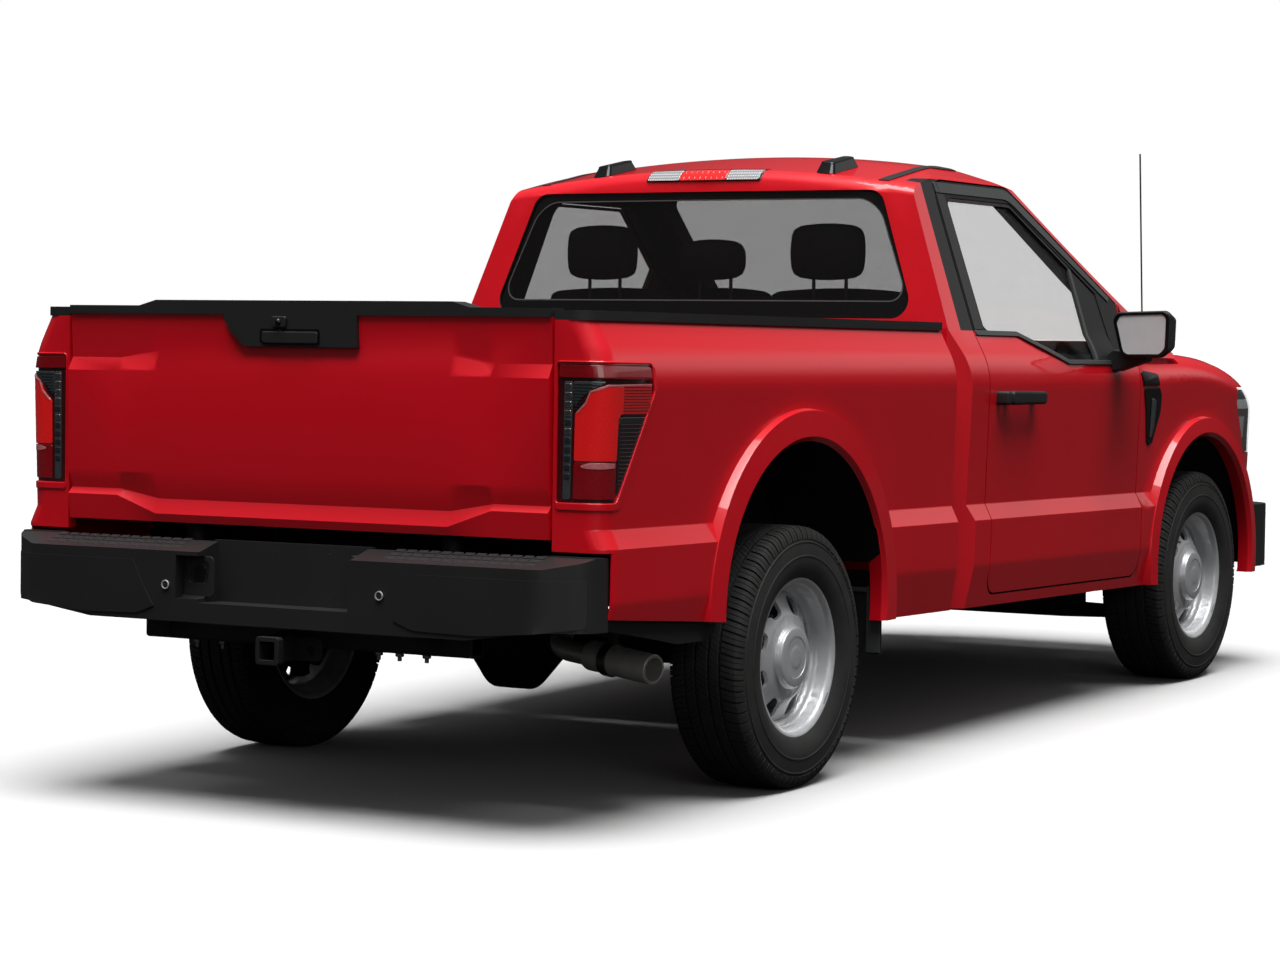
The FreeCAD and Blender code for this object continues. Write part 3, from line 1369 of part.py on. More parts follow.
d.add(
    liner_in=690,
    liner_end_high=560,
    flap_x=500,
    flap_thick=8,
    flap_in=880,
    flap_out=985,
    flap_low=360,
    flap_high=560,
    valance_in=962,
    valance_out=974,
    valance_round=90,
    valance_tall=32,
    valance_bend=900,
    valance_low=470,
    valance_deep_rear=700,
    valance_deep_front=520,
)
liner_centre = (d.wheel_base, d.flank_high - d.wheel_drop)
liner = arch_rod(liner_centre, d.liner_radius + d.liner_wall, d.liner_in).cut(
    arch_rod(liner_centre, d.liner_radius, d.liner_in))
liner = liner.common(block(0, d.far * 2, 0, d.flare_root - d.seat_gap, d.liner_end_high, d.far))
flap = prism("yz", [
    (d.flap_in, d.flap_low), (d.flap_out, d.flap_low), (d.flap_out, d.sill_low - d.seat_gap),
    (d.flare_root - d.seat_gap, d.sill_low - d.seat_gap), (d.flare_root - d.seat_gap, d.flap_high),
    (d.flap_in, d.flap_high)], d.flap_x, d.flap_x + d.flap_thick)
valance = prism("xz", [
    (-d.corner_rear, d.tail_edge_rear - d.seam), (-d.corner_rear, d.tail_edge_rear - d.valance_tall),
    (-d.valance_bend, d.tail_edge_front - d.valance_tall / 2, d.valance_round),
    (-d.valance_deep_rear, d.valance_low, d.valance_round),
    (-d.valance_deep_front, d.valance_low, d.valance_round / 3), (-d.rear_arch - d.seam, d.tail_edge_front - d.seam),
], d.valance_in, d.valance_out).cut(prism("xz", [
    (p[0], p[1] - d.seat_gap) for p in tail_edge] + [(-d.rear_arch, d.far), (-d.box_rear, d.far)], 0, d.wide))
add("wheel_liners", Part.makeCompound([liner, mirrored(liner), flap, mirrored(flap), valance, mirrored(valance)]))

# Exhaust: one pipe over the axle to its tip behind the right rear wheel, and the muffler

d.add(
    pipe_radius=32,
    pipe_bend=110,
    muffler_radius=100,
    muffler_front=1500,
    muffler_rear=900,
    tail_radius=37,
    tail_wall=3,
    tail_deep=140,
)
d.add(
    pipe_y=235,
    pipe_fall_x=2500,
    pipe_fall_high=508,
    pipe_floor_x=1700,
    pipe_floor_high=455,
    pipe_rise_x=800,
    pipe_over_front=330,
    pipe_over_y=250,
    pipe_over_high=560,
    pipe_over_rear=150,
    pipe_over_rear_y=290,
    pipe_under_back=520,
    pipe_under_y=480,
    pipe_under_high=420,
    tip_back=600,
    tip_y=840,
    tip_high=385,
    hanger_half=15,
    hanger_tall=16,
)


def tube(points, radius, bend):
    """A round bar along straight runs that tangent arcs join."""
    edges = []
    last = points[0]
    for i in range(1, len(points) - 1):
        spot = points[i]
        back = (points[i - 1] - spot).normalize()
        ahead = (points[i + 1] - spot).normalize()
        half = back.getAngle(ahead) / 2
        run = bend / math.tan(half)
        middle = spot + (back + ahead).normalize() * (bend / math.sin(half) - bend)
        edges.append(Part.makeLine(last, spot + back * run))
        edges.append(Part.Arc(spot + back * run, middle, spot + ahead * run).toShape())
        last = spot + ahead * run
    edges.append(Part.makeLine(last, points[-1]))
    circle = Part.Wire([Part.makeCircle(radius, points[0], points[1] - points[0])])
    return Part.Wire(edges).makePipeShell([circle], True, True)


route = [
    V(d.engine_rear - d.seat_gap, -d.pipe_y, d.pipe_fall_high), V(d.pipe_fall_x, -d.pipe_y, d.pipe_fall_high),
    V(d.pipe_floor_x, -d.pipe_y, d.pipe_floor_high), V(d.pipe_rise_x, -d.pipe_y, d.pipe_floor_high),
    V(d.pipe_over_front, -d.pipe_over_y, d.pipe_over_high), V(-d.pipe_over_rear, -d.pipe_over_rear_y, d.pipe_over_high),
    V(-d.pipe_under_back, -d.pipe_under_y, d.pipe_under_high), V(-d.tip_back, -d.tip_y, d.tip_high)]
pipe = tube(route, d.pipe_radius, d.pipe_bend)
muffler = rod(V(d.muffler_rear, route[2].y, route[2].z), V(d.muffler_front, route[2].y, route[2].z), d.muffler_radius)
tip = rod((route[-2] + route[-1]) / 2, route[-1], d.tail_radius)
hangers = [block(x - d.hanger_half, x + d.hanger_half, -d.rail_in + d.seat_gap, -d.pipe_y,
                 d.pipe_floor_high, d.pipe_floor_high + d.hanger_tall)
           for x in (d.muffler_rear + d.muffler_radius, d.muffler_front - d.muffler_radius)]
mouth = route[-1] + (route[-2] - route[-1]).normalize() * d.tail_deep
add("exhaust", pipe.fuse([muffler, tip] + hangers).cut(rod(mouth, route[-1], d.tail_radius - d.tail_wall)))

# Fuel tank beside the left rail, leaf springs and the shaft to the axle

d.add(
    tank_rear=760,
    tank_front=1440,
    tank_out=770,
    tank_low=385,
    tank_high=570,
    tank_round=35,
    spring_rear=760,
    spring_front=700,
    spring_in=556,
    spring_wide=64,
    spring_eye_high=500,
    spring_eye=24,
    spring_leaf=14,
    spring_pack=46,
    spring_pin=10,
    shaft_radius=38,
    shaft_front_high=480,
    shaft_gap=2,
)
tank = Body("fuel_tank")
base = tank.sketch("XZ_Plane", rect("tank_rear", "tank_front", "tank_low", "tank_high"), [], "-tank_out")
tank.pad(base, "tank_out - rail_outer - seat_gap")
tank.fillet(V(0, 1, 0), "tank_round")

leaf_low = d.tyre_radius + d.axle_radius + d.seat_gap
arc_low = Part.Arc(V(-d.spring_rear, 0, d.spring_eye_high), V(0, 0, leaf_low), V(d.spring_front, 0, d.spring_eye_high))
arc_high = Part.Arc(V(-d.spring_rear, 0, d.spring_eye_high + d.spring_leaf), V(0, 0, leaf_low + d.spring_pack),
                    V(d.spring_front, 0, d.spring_eye_high + d.spring_leaf))
leaf = Part.Face(Part.Wire([
    arc_low.toShape(), Part.makeLine(arc_low.EndPoint, arc_high.EndPoint), arc_high.toShape(),
    Part.makeLine(arc_high.StartPoint, arc_low.StartPoint)])).extrude(V(0, d.spring_wide, 0))
leaf.translate(V(0, d.spring_in, 0))
hangers = []
for end in (-d.spring_rear, d.spring_front):
    eye = V(end, d.spring_in, d.spring_eye_high + d.spring_eye)
    across = V(0, d.spring_wide, 0)
    leaf = leaf.fuse(rod(eye, eye + across, d.spring_eye)).cut(rod(eye, eye + across, d.spring_pin + d.pin_gap))
    inner_end = V(end, d.rail_outer + d.seat_gap, eye.z)
    hanger = rod(inner_end, V(end, d.spring_in - d.hood_gap, eye.z), d.spring_eye)
    hangers.append(hanger.fuse(rod(inner_end, V(end, d.spring_in + d.spring_wide, eye.z), d.spring_pin)))
add("leaf_springs", Part.makeCompound([leaf, mirrored(leaf)] + hangers + [mirrored(h) for h in hangers]))
shaft_high = d.tyre_radius + d.seam
shaft = rod(V(d.nose_length + d.shaft_gap, 0, shaft_high), V(d.gearbox_rear - d.shaft_gap, 0, d.shaft_front_high), d.shaft_radius)
add("drive_shaft", shaft)

# Front suspension: upper and lower arms to the ball joints, and the steering rack

d.add(
    arm_base_half=110,
    arm_tip_half=34,
    rack_half=330,
    rack_radius=30,
    tie_half=610,
    tie_radius=13,
)
centre = V(d.wheel_base, d.kingpin_out, d.tyre_radius)
arms = []
for turn in (1, -1):
    middle = d.tyre_radius + turn * d.ball_rise
    base = d.rail_outer + d.seat_gap * 2
    arm = prism("xy", [
        (d.wheel_base - d.arm_base_half, base), (d.wheel_base + d.arm_base_half, base),
        (d.wheel_base + d.arm_tip_half, d.kingpin_out), (d.wheel_base - d.arm_tip_half, d.kingpin_out)],
        middle - d.arm_thick / 2, middle + d.arm_thick / 2)
    tip = V(centre.x, centre.y, middle)
    half_arm = V(0, 0, d.arm_thick / 2)
    arm = arm.fuse(rod(tip - half_arm, tip + half_arm, d.ball_radius))
    arm = arm.fuse(rod(tip, tip - V(0, 0, turn * (d.arm_thick * 3 / 2 - d.ball_gap * 2)), d.ball_pin))
    arms += [arm, mirrored(arm)]
rack_high = d.tyre_radius - d.rack_drop
rack_x = d.wheel_base + d.steer_arm_reach
beam_front = rack_x - d.rack_radius - d.seat_gap
beam_low = d.tyre_radius - d.ball_rise - d.arm_thick / 2
rake = math.radians(d.rake_degrees)
rail_under = (d.tyre_radius - beam_front * math.sin(rake)
              + (d.rail_front_high - d.rail_tall - d.tyre_radius) * math.cos(rake))
beam = block(d.wheel_base - d.arm_base_half, beam_front, -d.rail_outer - d.seam, d.rail_outer + d.seam,
             beam_low, rack_high + d.rack_radius)
beam = beam.fuse(pair(block(d.wheel_base - d.arm_base_half, beam_front, d.rail_in, d.rail_outer,
                            beam_low, rail_under - d.seat_gap)))
rack = rod(V(rack_x, -d.rack_half, rack_high), V(rack_x, d.rack_half, rack_high), d.rack_radius).fuse(
    rod(V(rack_x, -d.tie_half, rack_high), V(rack_x, d.tie_half, rack_high), d.tie_radius))
add("front_suspension", Part.makeCompound([arms[0], arms[1], arms[2].fuse([arms[3], beam])]), True)
add("steering_rack", rack, True)

# Spare wheel under the box

d.add(
    spare_low=475,
    spare_post=30,
)
spare_foot = V(-d.rear_arch - d.sill_gap, 0, d.spare_low)
spare_top = spare_foot + V(0, 0, d.tyre_width)
spare = rod(spare_foot, spare_top, d.tyre_radius)
spare = spare.makeFillet(d.shoulder_drop * 2, [edge for edge in spare.Edges if edge.Closed])
hoist_top = d.box_floor - d.box_sheet - d.sill_deep - d.seat_gap
add("spare_wheel", spare.fuse(rod(spare_top, V(spare_foot.x, 0, hoist_top), d.spare_post)))

# Seat, dashboard and steering wheel

d.add(
    seat_half=690,
    seat_base_rear=1290,
    seat_front=1830,
    seat_base_high=840,
    seat_high=985,
    back_foot=1330,
    back_foot_rear=1200,
    back_top=1195,
    back_top_rear=1110,
    back_high=1500,
    seat_round=45,
    rest_half=130,
    rest_out=440,
    rest_low=1520,
    rest_high=1690,
    rest_rear=1120,
    rest_front=1215,
    rest_post=60,
    dash_rear=2300,
    dash_front=2770,
    dash_high=1240,
    dash_lip=2330,
    dash_half=840,
    dash_face_low=900,
    column_y=370,
    column_radius=30,
    wheel_x=2120,
    wheel_high=1150,
    column_x=2400,
    column_high=1060,
    grip_ring=186,
    grip_radius=16,
    grip_hub=55,
    grip_hub_thick=40,
    spoke_wide=36,
    spoke_thick=14,
    shaft_small=12,
)
seat = Body("bench_seat")
side_view = seat.sketch("XZ_Plane", [
    ("seat_base_rear", "floor_top + seat_gap"), ("seat_front - seat_round * 2", "floor_top + seat_gap"),
    ("seat_front - seat_round", "seat_base_high"), ("seat_front", "seat_base_high"),
    ("seat_front", "seat_high"), ("back_foot", "seat_high - seat_round"),
    ("back_top", "back_high"), ("back_top_rear", "back_high"), ("back_foot_rear", "seat_base_high"),
    ("seat_base_rear", "seat_base_high"),
])
seat.pad(side_view, "seat_half * 2", True)
seat.fillet(V(0, 1, 0), "seat_round / 3")
for sign in ("-", ""):
    rest = seat.sketch("YZ_Plane", rect(sign + "rest_out - rest_half", sign + "rest_out + rest_half", "rest_low", "rest_high"),
                       [], "rest_rear")
    post = seat.sketch("YZ_Plane", rect(sign + "rest_out - rest_post / 2", sign + "rest_out + rest_post / 2",
                                        "back_high - seat_round", "rest_high - seat_round"), [], "rest_rear + seat_round / 2")
    seat.pad(post, "seat_round")
    seat.pad(rest, "rest_front - rest_rear")

dash_low = d.shelf_high + d.shelf_thick + d.seat_gap
dash = prism("xz", [
    (d.dash_rear, dash_low), (d.dash_rear, d.dash_high - d.seat_round), (d.dash_lip, d.dash_high),
    (d.dash_front, d.dash_high), (d.dash_front, dash_low)], -d.dash_half, d.dash_half)
dash = dash.fuse(block(d.dash_rear + d.seat_round, d.shelf_back - d.seam, -d.dash_half, d.dash_half, d.dash_face_low, dash_low + d.seam))
column_end = V(d.column_x, d.column_y, d.column_high)
wheel_centre = V(d.wheel_x, d.column_y, d.wheel_high)
column_line = (wheel_centre - column_end).normalize()
column = rod(column_end, wheel_centre - column_line * (d.grip_hub_thick / 2 + d.hood_gap), d.column_radius)
column = column.fuse(rod(column_end, wheel_centre, d.shaft_small))
add("dashboard", dash.fuse(column))

grip = Part.makeTorus(d.grip_ring, d.grip_radius, wheel_centre, column_line)
hub = rod(wheel_centre - column_line * (d.grip_hub_thick / 2), wheel_centre + column_line * (d.grip_hub_thick / 2), d.grip_hub)
spokes = []
for turn in (0, 1, 2):
    spoke = Part.makeBox(d.spoke_wide, d.grip_ring, d.spoke_thick, V(-d.spoke_wide / 2, 0, -d.spoke_thick / 2))
    spoke.rotate(V(0, 0, 0), V(0, 0, 1), turn * 90)
    spokes.append(spoke)
turned = FreeCAD.Placement(wheel_centre, FreeCAD.Rotation(V(0, 0, 1), column_line))
spokes = [spoke.transformGeometry(turned.toMatrix()) for spoke in spokes]
steering = grip.fuse([hub] + spokes).cut(rod(column_end, wheel_centre + column_line, d.shaft_small + d.pin_gap))
add("steering_wheel", steering)

# Antenna on the right fender and the lamp at the roof's rear edge

d.add(
    mast_x=2926,
    mast_y=813,
    mast_high=735,
    mast_radius=3,
    mast_foot=14,
    mast_lean=60,
    brake_lamp_half=150,
    brake_lamp_low=1852,
    brake_lamp_high=1878,
    brake_lamp_thick=14,
)
foot_z = d.hood_height - d.roof_corner_round
mast = rod(V(d.mast_x, -d.mast_y, foot_z), V(d.mast_x, -d.mast_y, d.hood_height - d.overrun), d.mast_foot)
mast = mast.fuse(rod(V(d.mast_x, -d.mast_y, foot_z), V(d.mast_x - d.mast_lean, -d.mast_y, foot_z + d.mast_high), d.mast_radius))
add("antenna", mast.cut(front_outer))
stop = block(d.cab_back, d.roof_rear, -d.brake_lamp_half, d.brake_lamp_half, d.brake_lamp_low, d.brake_lamp_high)
add("high_mount_lamp", stop.common(cab_form(0, -d.brake_lamp_thick, -d.brake_lamp_thick)).cut(cab_outer))

# The body's rake and the origin, then the checks and the files

document.recompute()
axle_centre = V(0, 0, d.tyre_radius)
raked = FreeCAD.Placement(V(0, 0, 0), FreeCAD.Rotation(V(0, 1, 0), d.rake_degrees), axle_centre)
for piece, road in pieces:
    if not road:
        piece.Placement = raked.multiply(piece.Placement)
document.recompute()


def reach(shape):
    box = shape.optimalBoundingBox()
    return box.XMin, box.XMax


ends = [reach(piece.Shape) for piece, road in pieces]
middle = (min(low for low, high in ends) + max(high for low, high in ends)) / 2
centred = FreeCAD.Placement(V(-middle, 0, 0), FreeCAD.Rotation())
for piece, road in pieces:
    piece.Placement = centred.multiply(piece.Placement)
document.recompute()

faults = [o.Name for o in document.Objects if "Invalid" in o.State or "Error" in o.State]
faults += [piece.Label for piece, road in pieces if piece.Shape.isNull() or not piece.Shape.isValid()]
if faults:
    raise RuntimeError("failed objects: " + ", ".join(faults))
os.makedirs("parts", exist_ok=True)
for piece, road in pieces:
    piece.Shape.exportStep("parts/" + piece.Label + ".step")
    box = piece.Shape.optimalBoundingBox()
    print(piece.Label, len(piece.Shape.Solids), [round(value) for value in (
        box.XMin, box.XMax, box.YMin, box.YMax, box.ZMin, box.ZMax)])
print("origin lies", round(middle, 1), "ahead of the rear axle")
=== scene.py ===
import json
import math

import bpy
from mathutils import Matrix, Vector
from mathutils.bvhtree import BVHTree

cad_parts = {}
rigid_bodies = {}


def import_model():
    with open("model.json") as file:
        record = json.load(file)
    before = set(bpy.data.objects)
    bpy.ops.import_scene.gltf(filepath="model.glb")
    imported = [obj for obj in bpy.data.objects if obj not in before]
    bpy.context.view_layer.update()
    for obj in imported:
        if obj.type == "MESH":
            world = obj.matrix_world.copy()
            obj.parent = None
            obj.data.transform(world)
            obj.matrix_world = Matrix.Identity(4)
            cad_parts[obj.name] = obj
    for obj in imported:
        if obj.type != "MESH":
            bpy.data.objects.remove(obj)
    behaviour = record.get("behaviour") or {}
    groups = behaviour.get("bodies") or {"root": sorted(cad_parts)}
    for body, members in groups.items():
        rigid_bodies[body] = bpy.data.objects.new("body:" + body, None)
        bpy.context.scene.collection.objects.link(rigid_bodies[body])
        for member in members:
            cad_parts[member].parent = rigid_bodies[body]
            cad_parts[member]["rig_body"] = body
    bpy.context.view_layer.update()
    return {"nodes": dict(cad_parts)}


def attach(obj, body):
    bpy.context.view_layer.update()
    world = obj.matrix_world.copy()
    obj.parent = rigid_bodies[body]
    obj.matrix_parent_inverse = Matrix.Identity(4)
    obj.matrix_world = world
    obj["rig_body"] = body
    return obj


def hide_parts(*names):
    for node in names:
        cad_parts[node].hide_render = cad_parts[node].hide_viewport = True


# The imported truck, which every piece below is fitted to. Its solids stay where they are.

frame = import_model()
solids = frame["nodes"]

# Camera: it stands behind the truck and to its right, a little under two metres
# up, with a long lens, as the photographer stood.

lens = bpy.data.cameras.new("camera")
lens.sensor_width = 36
lens.lens = 95.21
lens.clip_end = 200
camera = bpy.data.objects.new("camera", lens)
camera.location = (-10.0366, -5.611, 1.5027)
camera.rotation_euler = (math.radians(86.488), 0, math.radians(-59.061))
bpy.context.collection.objects.link(camera)
bpy.context.scene.camera = camera
bpy.context.scene.view_settings.view_transform = "Standard"

# Finishes: what a painter, moulder or glazier would call one material. A finish
# is a Principled shader with the nodes that vary it over the surface.


class Value:
    """A number that changes over a surface: one socket, with the sums that patterns need."""

    def __init__(self, finish, socket):
        self.finish = finish
        self.socket = socket

    def maths(self, operation, *others):
        inputs = dict(enumerate((self,) + others))
        return self.finish.node("ShaderNodeMath", {"operation": operation}, inputs)

    def __add__(self, other):
        return self.maths("ADD", other)

    def __mul__(self, other):
        return self.maths("MULTIPLY", other)

    def __sub__(self, other):
        return self.maths("SUBTRACT", other)

    def __truediv__(self, other):
        return self.maths("DIVIDE", other)

    def __mod__(self, other):
        return self.maths("FLOORED_MODULO", other)

    def __rsub__(self, other):
        return self * -1 + other

    def __abs__(self):
        return self.maths("ABSOLUTE")

    __radd__ = __add__
    __rmul__ = __mul__

    def above(self, edge, blur=0.001):
        """One above the edge and nought below it, with a soft step between."""
        return self.finish.node("ShaderNodeMapRange", {"interpolation_type": "SMOOTHSTEP"}, {
            "Value": self, "From Min": edge - blur, "From Max": edge + blur})

    def below(self, edge, blur=0.001):
        return 1 - self.above(edge, blur)

    def within(self, low, high, blur=0.001):
        return self.above(low, blur) * self.below(high, blur)

    def least(self, other):
        return self.maths("MINIMUM", other)

    def most(self, other):
        return self.maths("MAXIMUM", other)

    def wave(self, length):
        """Runs between nought and one, once in each length."""
        return (self * (2 * math.pi / length)).maths("SINE") * 0.5 + 0.5


class Finish:
    """One material, named for what it is in the workshop."""

    def __init__(self, name, slot="", **sockets):
        self.material = bpy.data.materials.new(name)
        self.material.use_nodes = True
        self.tree = self.material.node_tree
        self.shader = self.tree.nodes["Principled BSDF"]
        self.places = {}
        self.slot = slot
        self.set(**sockets)

    def node(self, kind, settings=None, sockets=None, out=0):
        """Any node: its settings first, then the values or links of its sockets."""
        node = self.tree.nodes.new(kind)
        for name, value in (settings or {}).items():
            setattr(node, name, value)
        self.feed(node, sockets or {})
        return Value(self, node.outputs[out])

    def feed(self, node, sockets):
        for name, value in sockets.items():
            if isinstance(value, Value):
                self.tree.links.new(value.socket, node.inputs[name])
            else:
                node.inputs[name].default_value = value

    def set(self, **sockets):
        """Sets sockets of the shader by their names in small letters."""
        self.feed(self.shader, {name.replace("_", " ").title().replace("Ior", "IOR"): value
                                for name, value in sockets.items()})

    def at(self, axis):
        """The place along one axis in metres: X forward, Y to the left, Z up."""
        if axis not in self.places:
            whole = self.node("ShaderNodeTexCoord", out="Object")
            self.places["all"] = whole
            for letter in "XYZ":
                self.places[letter] = self.node("ShaderNodeSeparateXYZ", None, {0: whole}, letter)
        return self.places[axis]

    def noise(self, size, detail=2.0):
        """Cloudy variation from nought to one, with lumps of about one size in metres."""
        self.at("X")
        return self.node("ShaderNodeTexNoise", None, {
            "Vector": self.places["all"], "Scale": 1 / size, "Detail": detail})

    def mix(self, first, second, share):
        """A colour between two, by a share."""
        return self.node("ShaderNodeMix", {"data_type": "RGBA"}, {0: share, 6: first, 7: second}, 2)

    def tones(self, first, second, share, **sockets):
        """Sets the base colour between two picked ones, with any other sockets."""
        self.set(base_color=self.mix(colour(*first), colour(*second), share), **sockets)

    def bump(self, height, strength=0.5, depth=0.001):
        self.set(normal=self.node("ShaderNodeBump", None, {
            "Height": height, "Strength": strength, "Distance": depth}))

    def dress(self, piece):
        piece.data.materials.clear()
        piece.data.materials.append(self.material)


def colour(red, green, blue):
    """A colour as it is picked on a screen, 0 to 255, in the shader's own scale."""
    parts = [value / 255 for value in (red, green, blue)]
    return [part / 12.92 if part <= 0.04045 else ((part + 0.055) / 1.055) ** 2.4 for part in parts] + [1]


# Studio: a pale floor, a wide lamp overhead and a soft one behind the camera,
# with dark walls round them that only the reflections see.

FLOOR_HALF = 60
bpy.ops.object.select_all(action="DESELECT")
bpy.ops.mesh.primitive_plane_add(size=2 * FLOOR_HALF)
floor = bpy.context.object
floor.name = "floor"
sweep = Finish("floor_paint", roughness=1, specular_ior_level=0)
seen = sweep.node("ShaderNodeLightPath", out="Is Camera Ray")
mottle = sweep.noise(3)
pale = sweep.mix(colour(212, 212, 212), colour(216, 216, 216), mottle)
dim = sweep.mix(colour(40, 40, 40), colour(44, 44, 44), mottle)
sweep.set(base_color=sweep.mix(dim, pale, seen))
sweep.dress(floor)

world = bpy.data.worlds.new("studio")
bpy.context.scene.world = world
world.use_nodes = True
air = world.node_tree


def world_node(kind, sockets=None, out=0):
    node = air.nodes.new(kind)
    for name, value in (sockets or {}).items():
        if isinstance(value, bpy.types.NodeSocket):
            air.links.new(value, node.inputs[name])
        else:
            node.inputs[name].default_value = value
    return node.outputs[out]


way = world_node("ShaderNodeTexCoord", out="Generated")
height = world_node("ShaderNodeSeparateXYZ", {0: way}, "Z")
rise = world_node("ShaderNodeMapRange", {
    "Value": height, "From Min": 0.0, "From Max": 0.9, "To Min": 0.015, "To Max": 0.24})
rays = world_node("ShaderNodeLightPath")
rays_node = rays.node
seen_through = world_node("ShaderNodeMath", {0: rays_node.outputs["Is Camera Ray"],
                                             1: rays_node.outputs["Is Transmission Ray"]})
sideways = world_node("ShaderNodeSeparateXYZ", {0: way}, "Y")
strip_light = world_node("ShaderNodeMapRange", {
    "Value": height, "From Min": 0.10, "From Max": 0.22, "To Min": 0.0, "To Max": 0.55})
for reach, first, last in ((height, 0.30, 0.42), (sideways, -0.30, -0.12)):
    fade = world_node("ShaderNodeMapRange", {
        "Value": reach, "From Min": first, "From Max": last, "To Min": 1.0, "To Max": 0.0})
    strip_light = world_node("ShaderNodeMath", {0: strip_light, 1: fade})
    strip_light.node.operation = "MULTIPLY"
gloss = world_node("ShaderNodeMath", {0: rays_node.outputs["Is Glossy Ray"], 1: strip_light})
gloss.node.operation = "MULTIPLY"
lit = world_node("ShaderNodeMath", {0: rise, 1: gloss})
whole = world_node("ShaderNodeMath", {0: seen_through, 1: lit})
whole.node.operation = "MAXIMUM"
air.links.new(whole, air.nodes["Background"].inputs["Strength"])
air.nodes["Background"].inputs["Color"].default_value = (1, 1, 1, 1)


def lamp(name, kind, energy, place, aim, **settings):
    data = bpy.data.lights.new(name, kind)
    data.energy = energy
    for key, value in settings.items():
        setattr(data, key, value)
    light = bpy.data.objects.new(name, data)
    light.location = place
    light.rotation_euler = (Vector(aim) - Vector(place)).to_track_quat("-Z", "Y").to_euler()
    bpy.context.collection.objects.link(light)


lamp("overhead", "SUN", 4.8, (-1.0, -0.9, 8), (0, 0, 0), angle=math.radians(50))
lamp("behind_camera", "AREA", 55, (-9, -8, 3.2), (0, 0, 0.9), shape="RECTANGLE", size=5, size_y=2.5)

# Body paint: red base coat under clear lacquer on steel and aluminium panels.
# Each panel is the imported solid's own shape with its facets drawn as one surface.

BODY_BACK = -1.4028
AXLE_HIGH = 0.385
RAKE_DEGREES = 1.6


def turned(degrees, axis):
    return Matrix.Rotation(math.radians(degrees), 4, axis)


def shifted(forward, left, up):
    return Matrix.Translation((forward, left, up))


RAKE = (shifted(BODY_BACK, 0, AXLE_HIGH) @ turned(RAKE_DEGREES, "Y")
        @ shifted(0, 0, -AXLE_HIGH))
ROAD = shifted(BODY_BACK, 0, 0)


def alone(piece):
    """Selects one piece and nothing else."""
    bpy.ops.object.select_all(action="DESELECT")
    piece.select_set(True)
    bpy.context.view_layer.objects.active = piece


def open_mesh(piece):
    """Opens one piece's mesh for edits, with all of it selected."""
    alone(piece)
    bpy.ops.object.mode_set(mode="EDIT")
    bpy.ops.mesh.select_all(action="SELECT")


def close_mesh():
    bpy.ops.object.mode_set(mode="OBJECT")


def copy_of(model, name, matrix=Matrix()):
    """A copy of a model with its own mesh, put in its place."""
    piece = bpy.data.objects.new(name, model.data.copy())
    bpy.context.collection.objects.link(piece)
    piece.data.transform(matrix)
    return piece


def smooth(piece, degrees):
    """Shades across every edge flatter than an angle, and keeps large faces flat."""
    alone(piece)
    bpy.ops.object.shade_smooth_by_angle(angle=math.radians(degrees))
    alone(piece)
    even = piece.modifiers.new("even", "WEIGHTED_NORMAL")
    even.keep_sharp = True
    bpy.ops.object.modifier_apply(modifier=even.name)


def shaped(node, finish, degrees=28):
    """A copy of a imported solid, merged and smoothed, that stands for it on the same body."""
    source = solids[node]
    piece = copy_of(source, "shaped_" + node)
    open_mesh(piece)
    bpy.ops.mesh.remove_doubles(threshold=0.00002)
    close_mesh()
    if piece.data.has_custom_normals:
        bpy.ops.mesh.customdata_custom_splitnormals_clear()
    smooth(piece, degrees)
    finish.dress(piece)
    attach(piece, source["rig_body"])
    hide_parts(node)
    return piece


def level_place(finish):
    """The place over a raked panel as it was drawn level: X from the rear axle and Z from the ground."""
    forward = finish.at("X") - BODY_BACK
    tilt = math.radians(RAKE_DEGREES)
    high = finish.at("Z") - AXLE_HIGH
    return (forward * math.cos(tilt) - high * math.sin(tilt),
            high * math.cos(tilt) + forward * math.sin(tilt) + AXLE_HIGH)


RED = colour(236, 8, 36)
RED_DEEP = colour(226, 7, 26)
BLACK = colour(22, 22, 23)


def paint(name):
    """Red lacquered paint, a little uneven in tone and gloss."""
    finish = Finish(name, metallic=0.0, coat_roughness=0.04, specular_ior_level=0.35)
    cloud = finish.noise(0.35, 3)
    finish.red = finish.mix(RED_DEEP, RED, cloud)
    finish.dull = finish.noise(0.02, 4) * 0.06 + 0.36
    finish.set(base_color=finish.red, roughness=finish.dull, coat_weight=0.8)
    finish.bump(finish.noise(0.0016, 1), 0.03, 0.0003)
    return finish


body_paint = paint("body_paint")
for name in ("roof_panel", "fender_left", "fender_right", "hood", "box_side_left", "box_side_right",
             "box_floor", "tailgate"):
    shaped(name, body_paint)

# Cab shell: painted outside, with a dark cloth lining on the faces that look
# into the cab, and black lacquer on the posts behind the windshield.

POST_FOOT, POST_LEAN, POST_LOW, POST_HIGH, POST_IN, DOOR_REAR = 1.148, 0.085, 1.350, 1.842, 0.70, 1.40
cab_paint = paint("cab_paint")
forward, high = level_place(cab_paint)
side = abs(cab_paint.at("Y"))
post_edge = (high - POST_LOW) * POST_LEAN + POST_FOOT
post = ((forward - post_edge).above(0) * forward.below(DOOR_REAR)
        * high.within(POST_LOW, POST_HIGH) * side.above(POST_IN))
cab_paint.set(base_color=cab_paint.mix(cab_paint.red, BLACK, post), coat_weight=0.8 - post * 0.6,
              roughness=cab_paint.dull + post * 0.1)
shell = shaped("cab_shell", cab_paint)

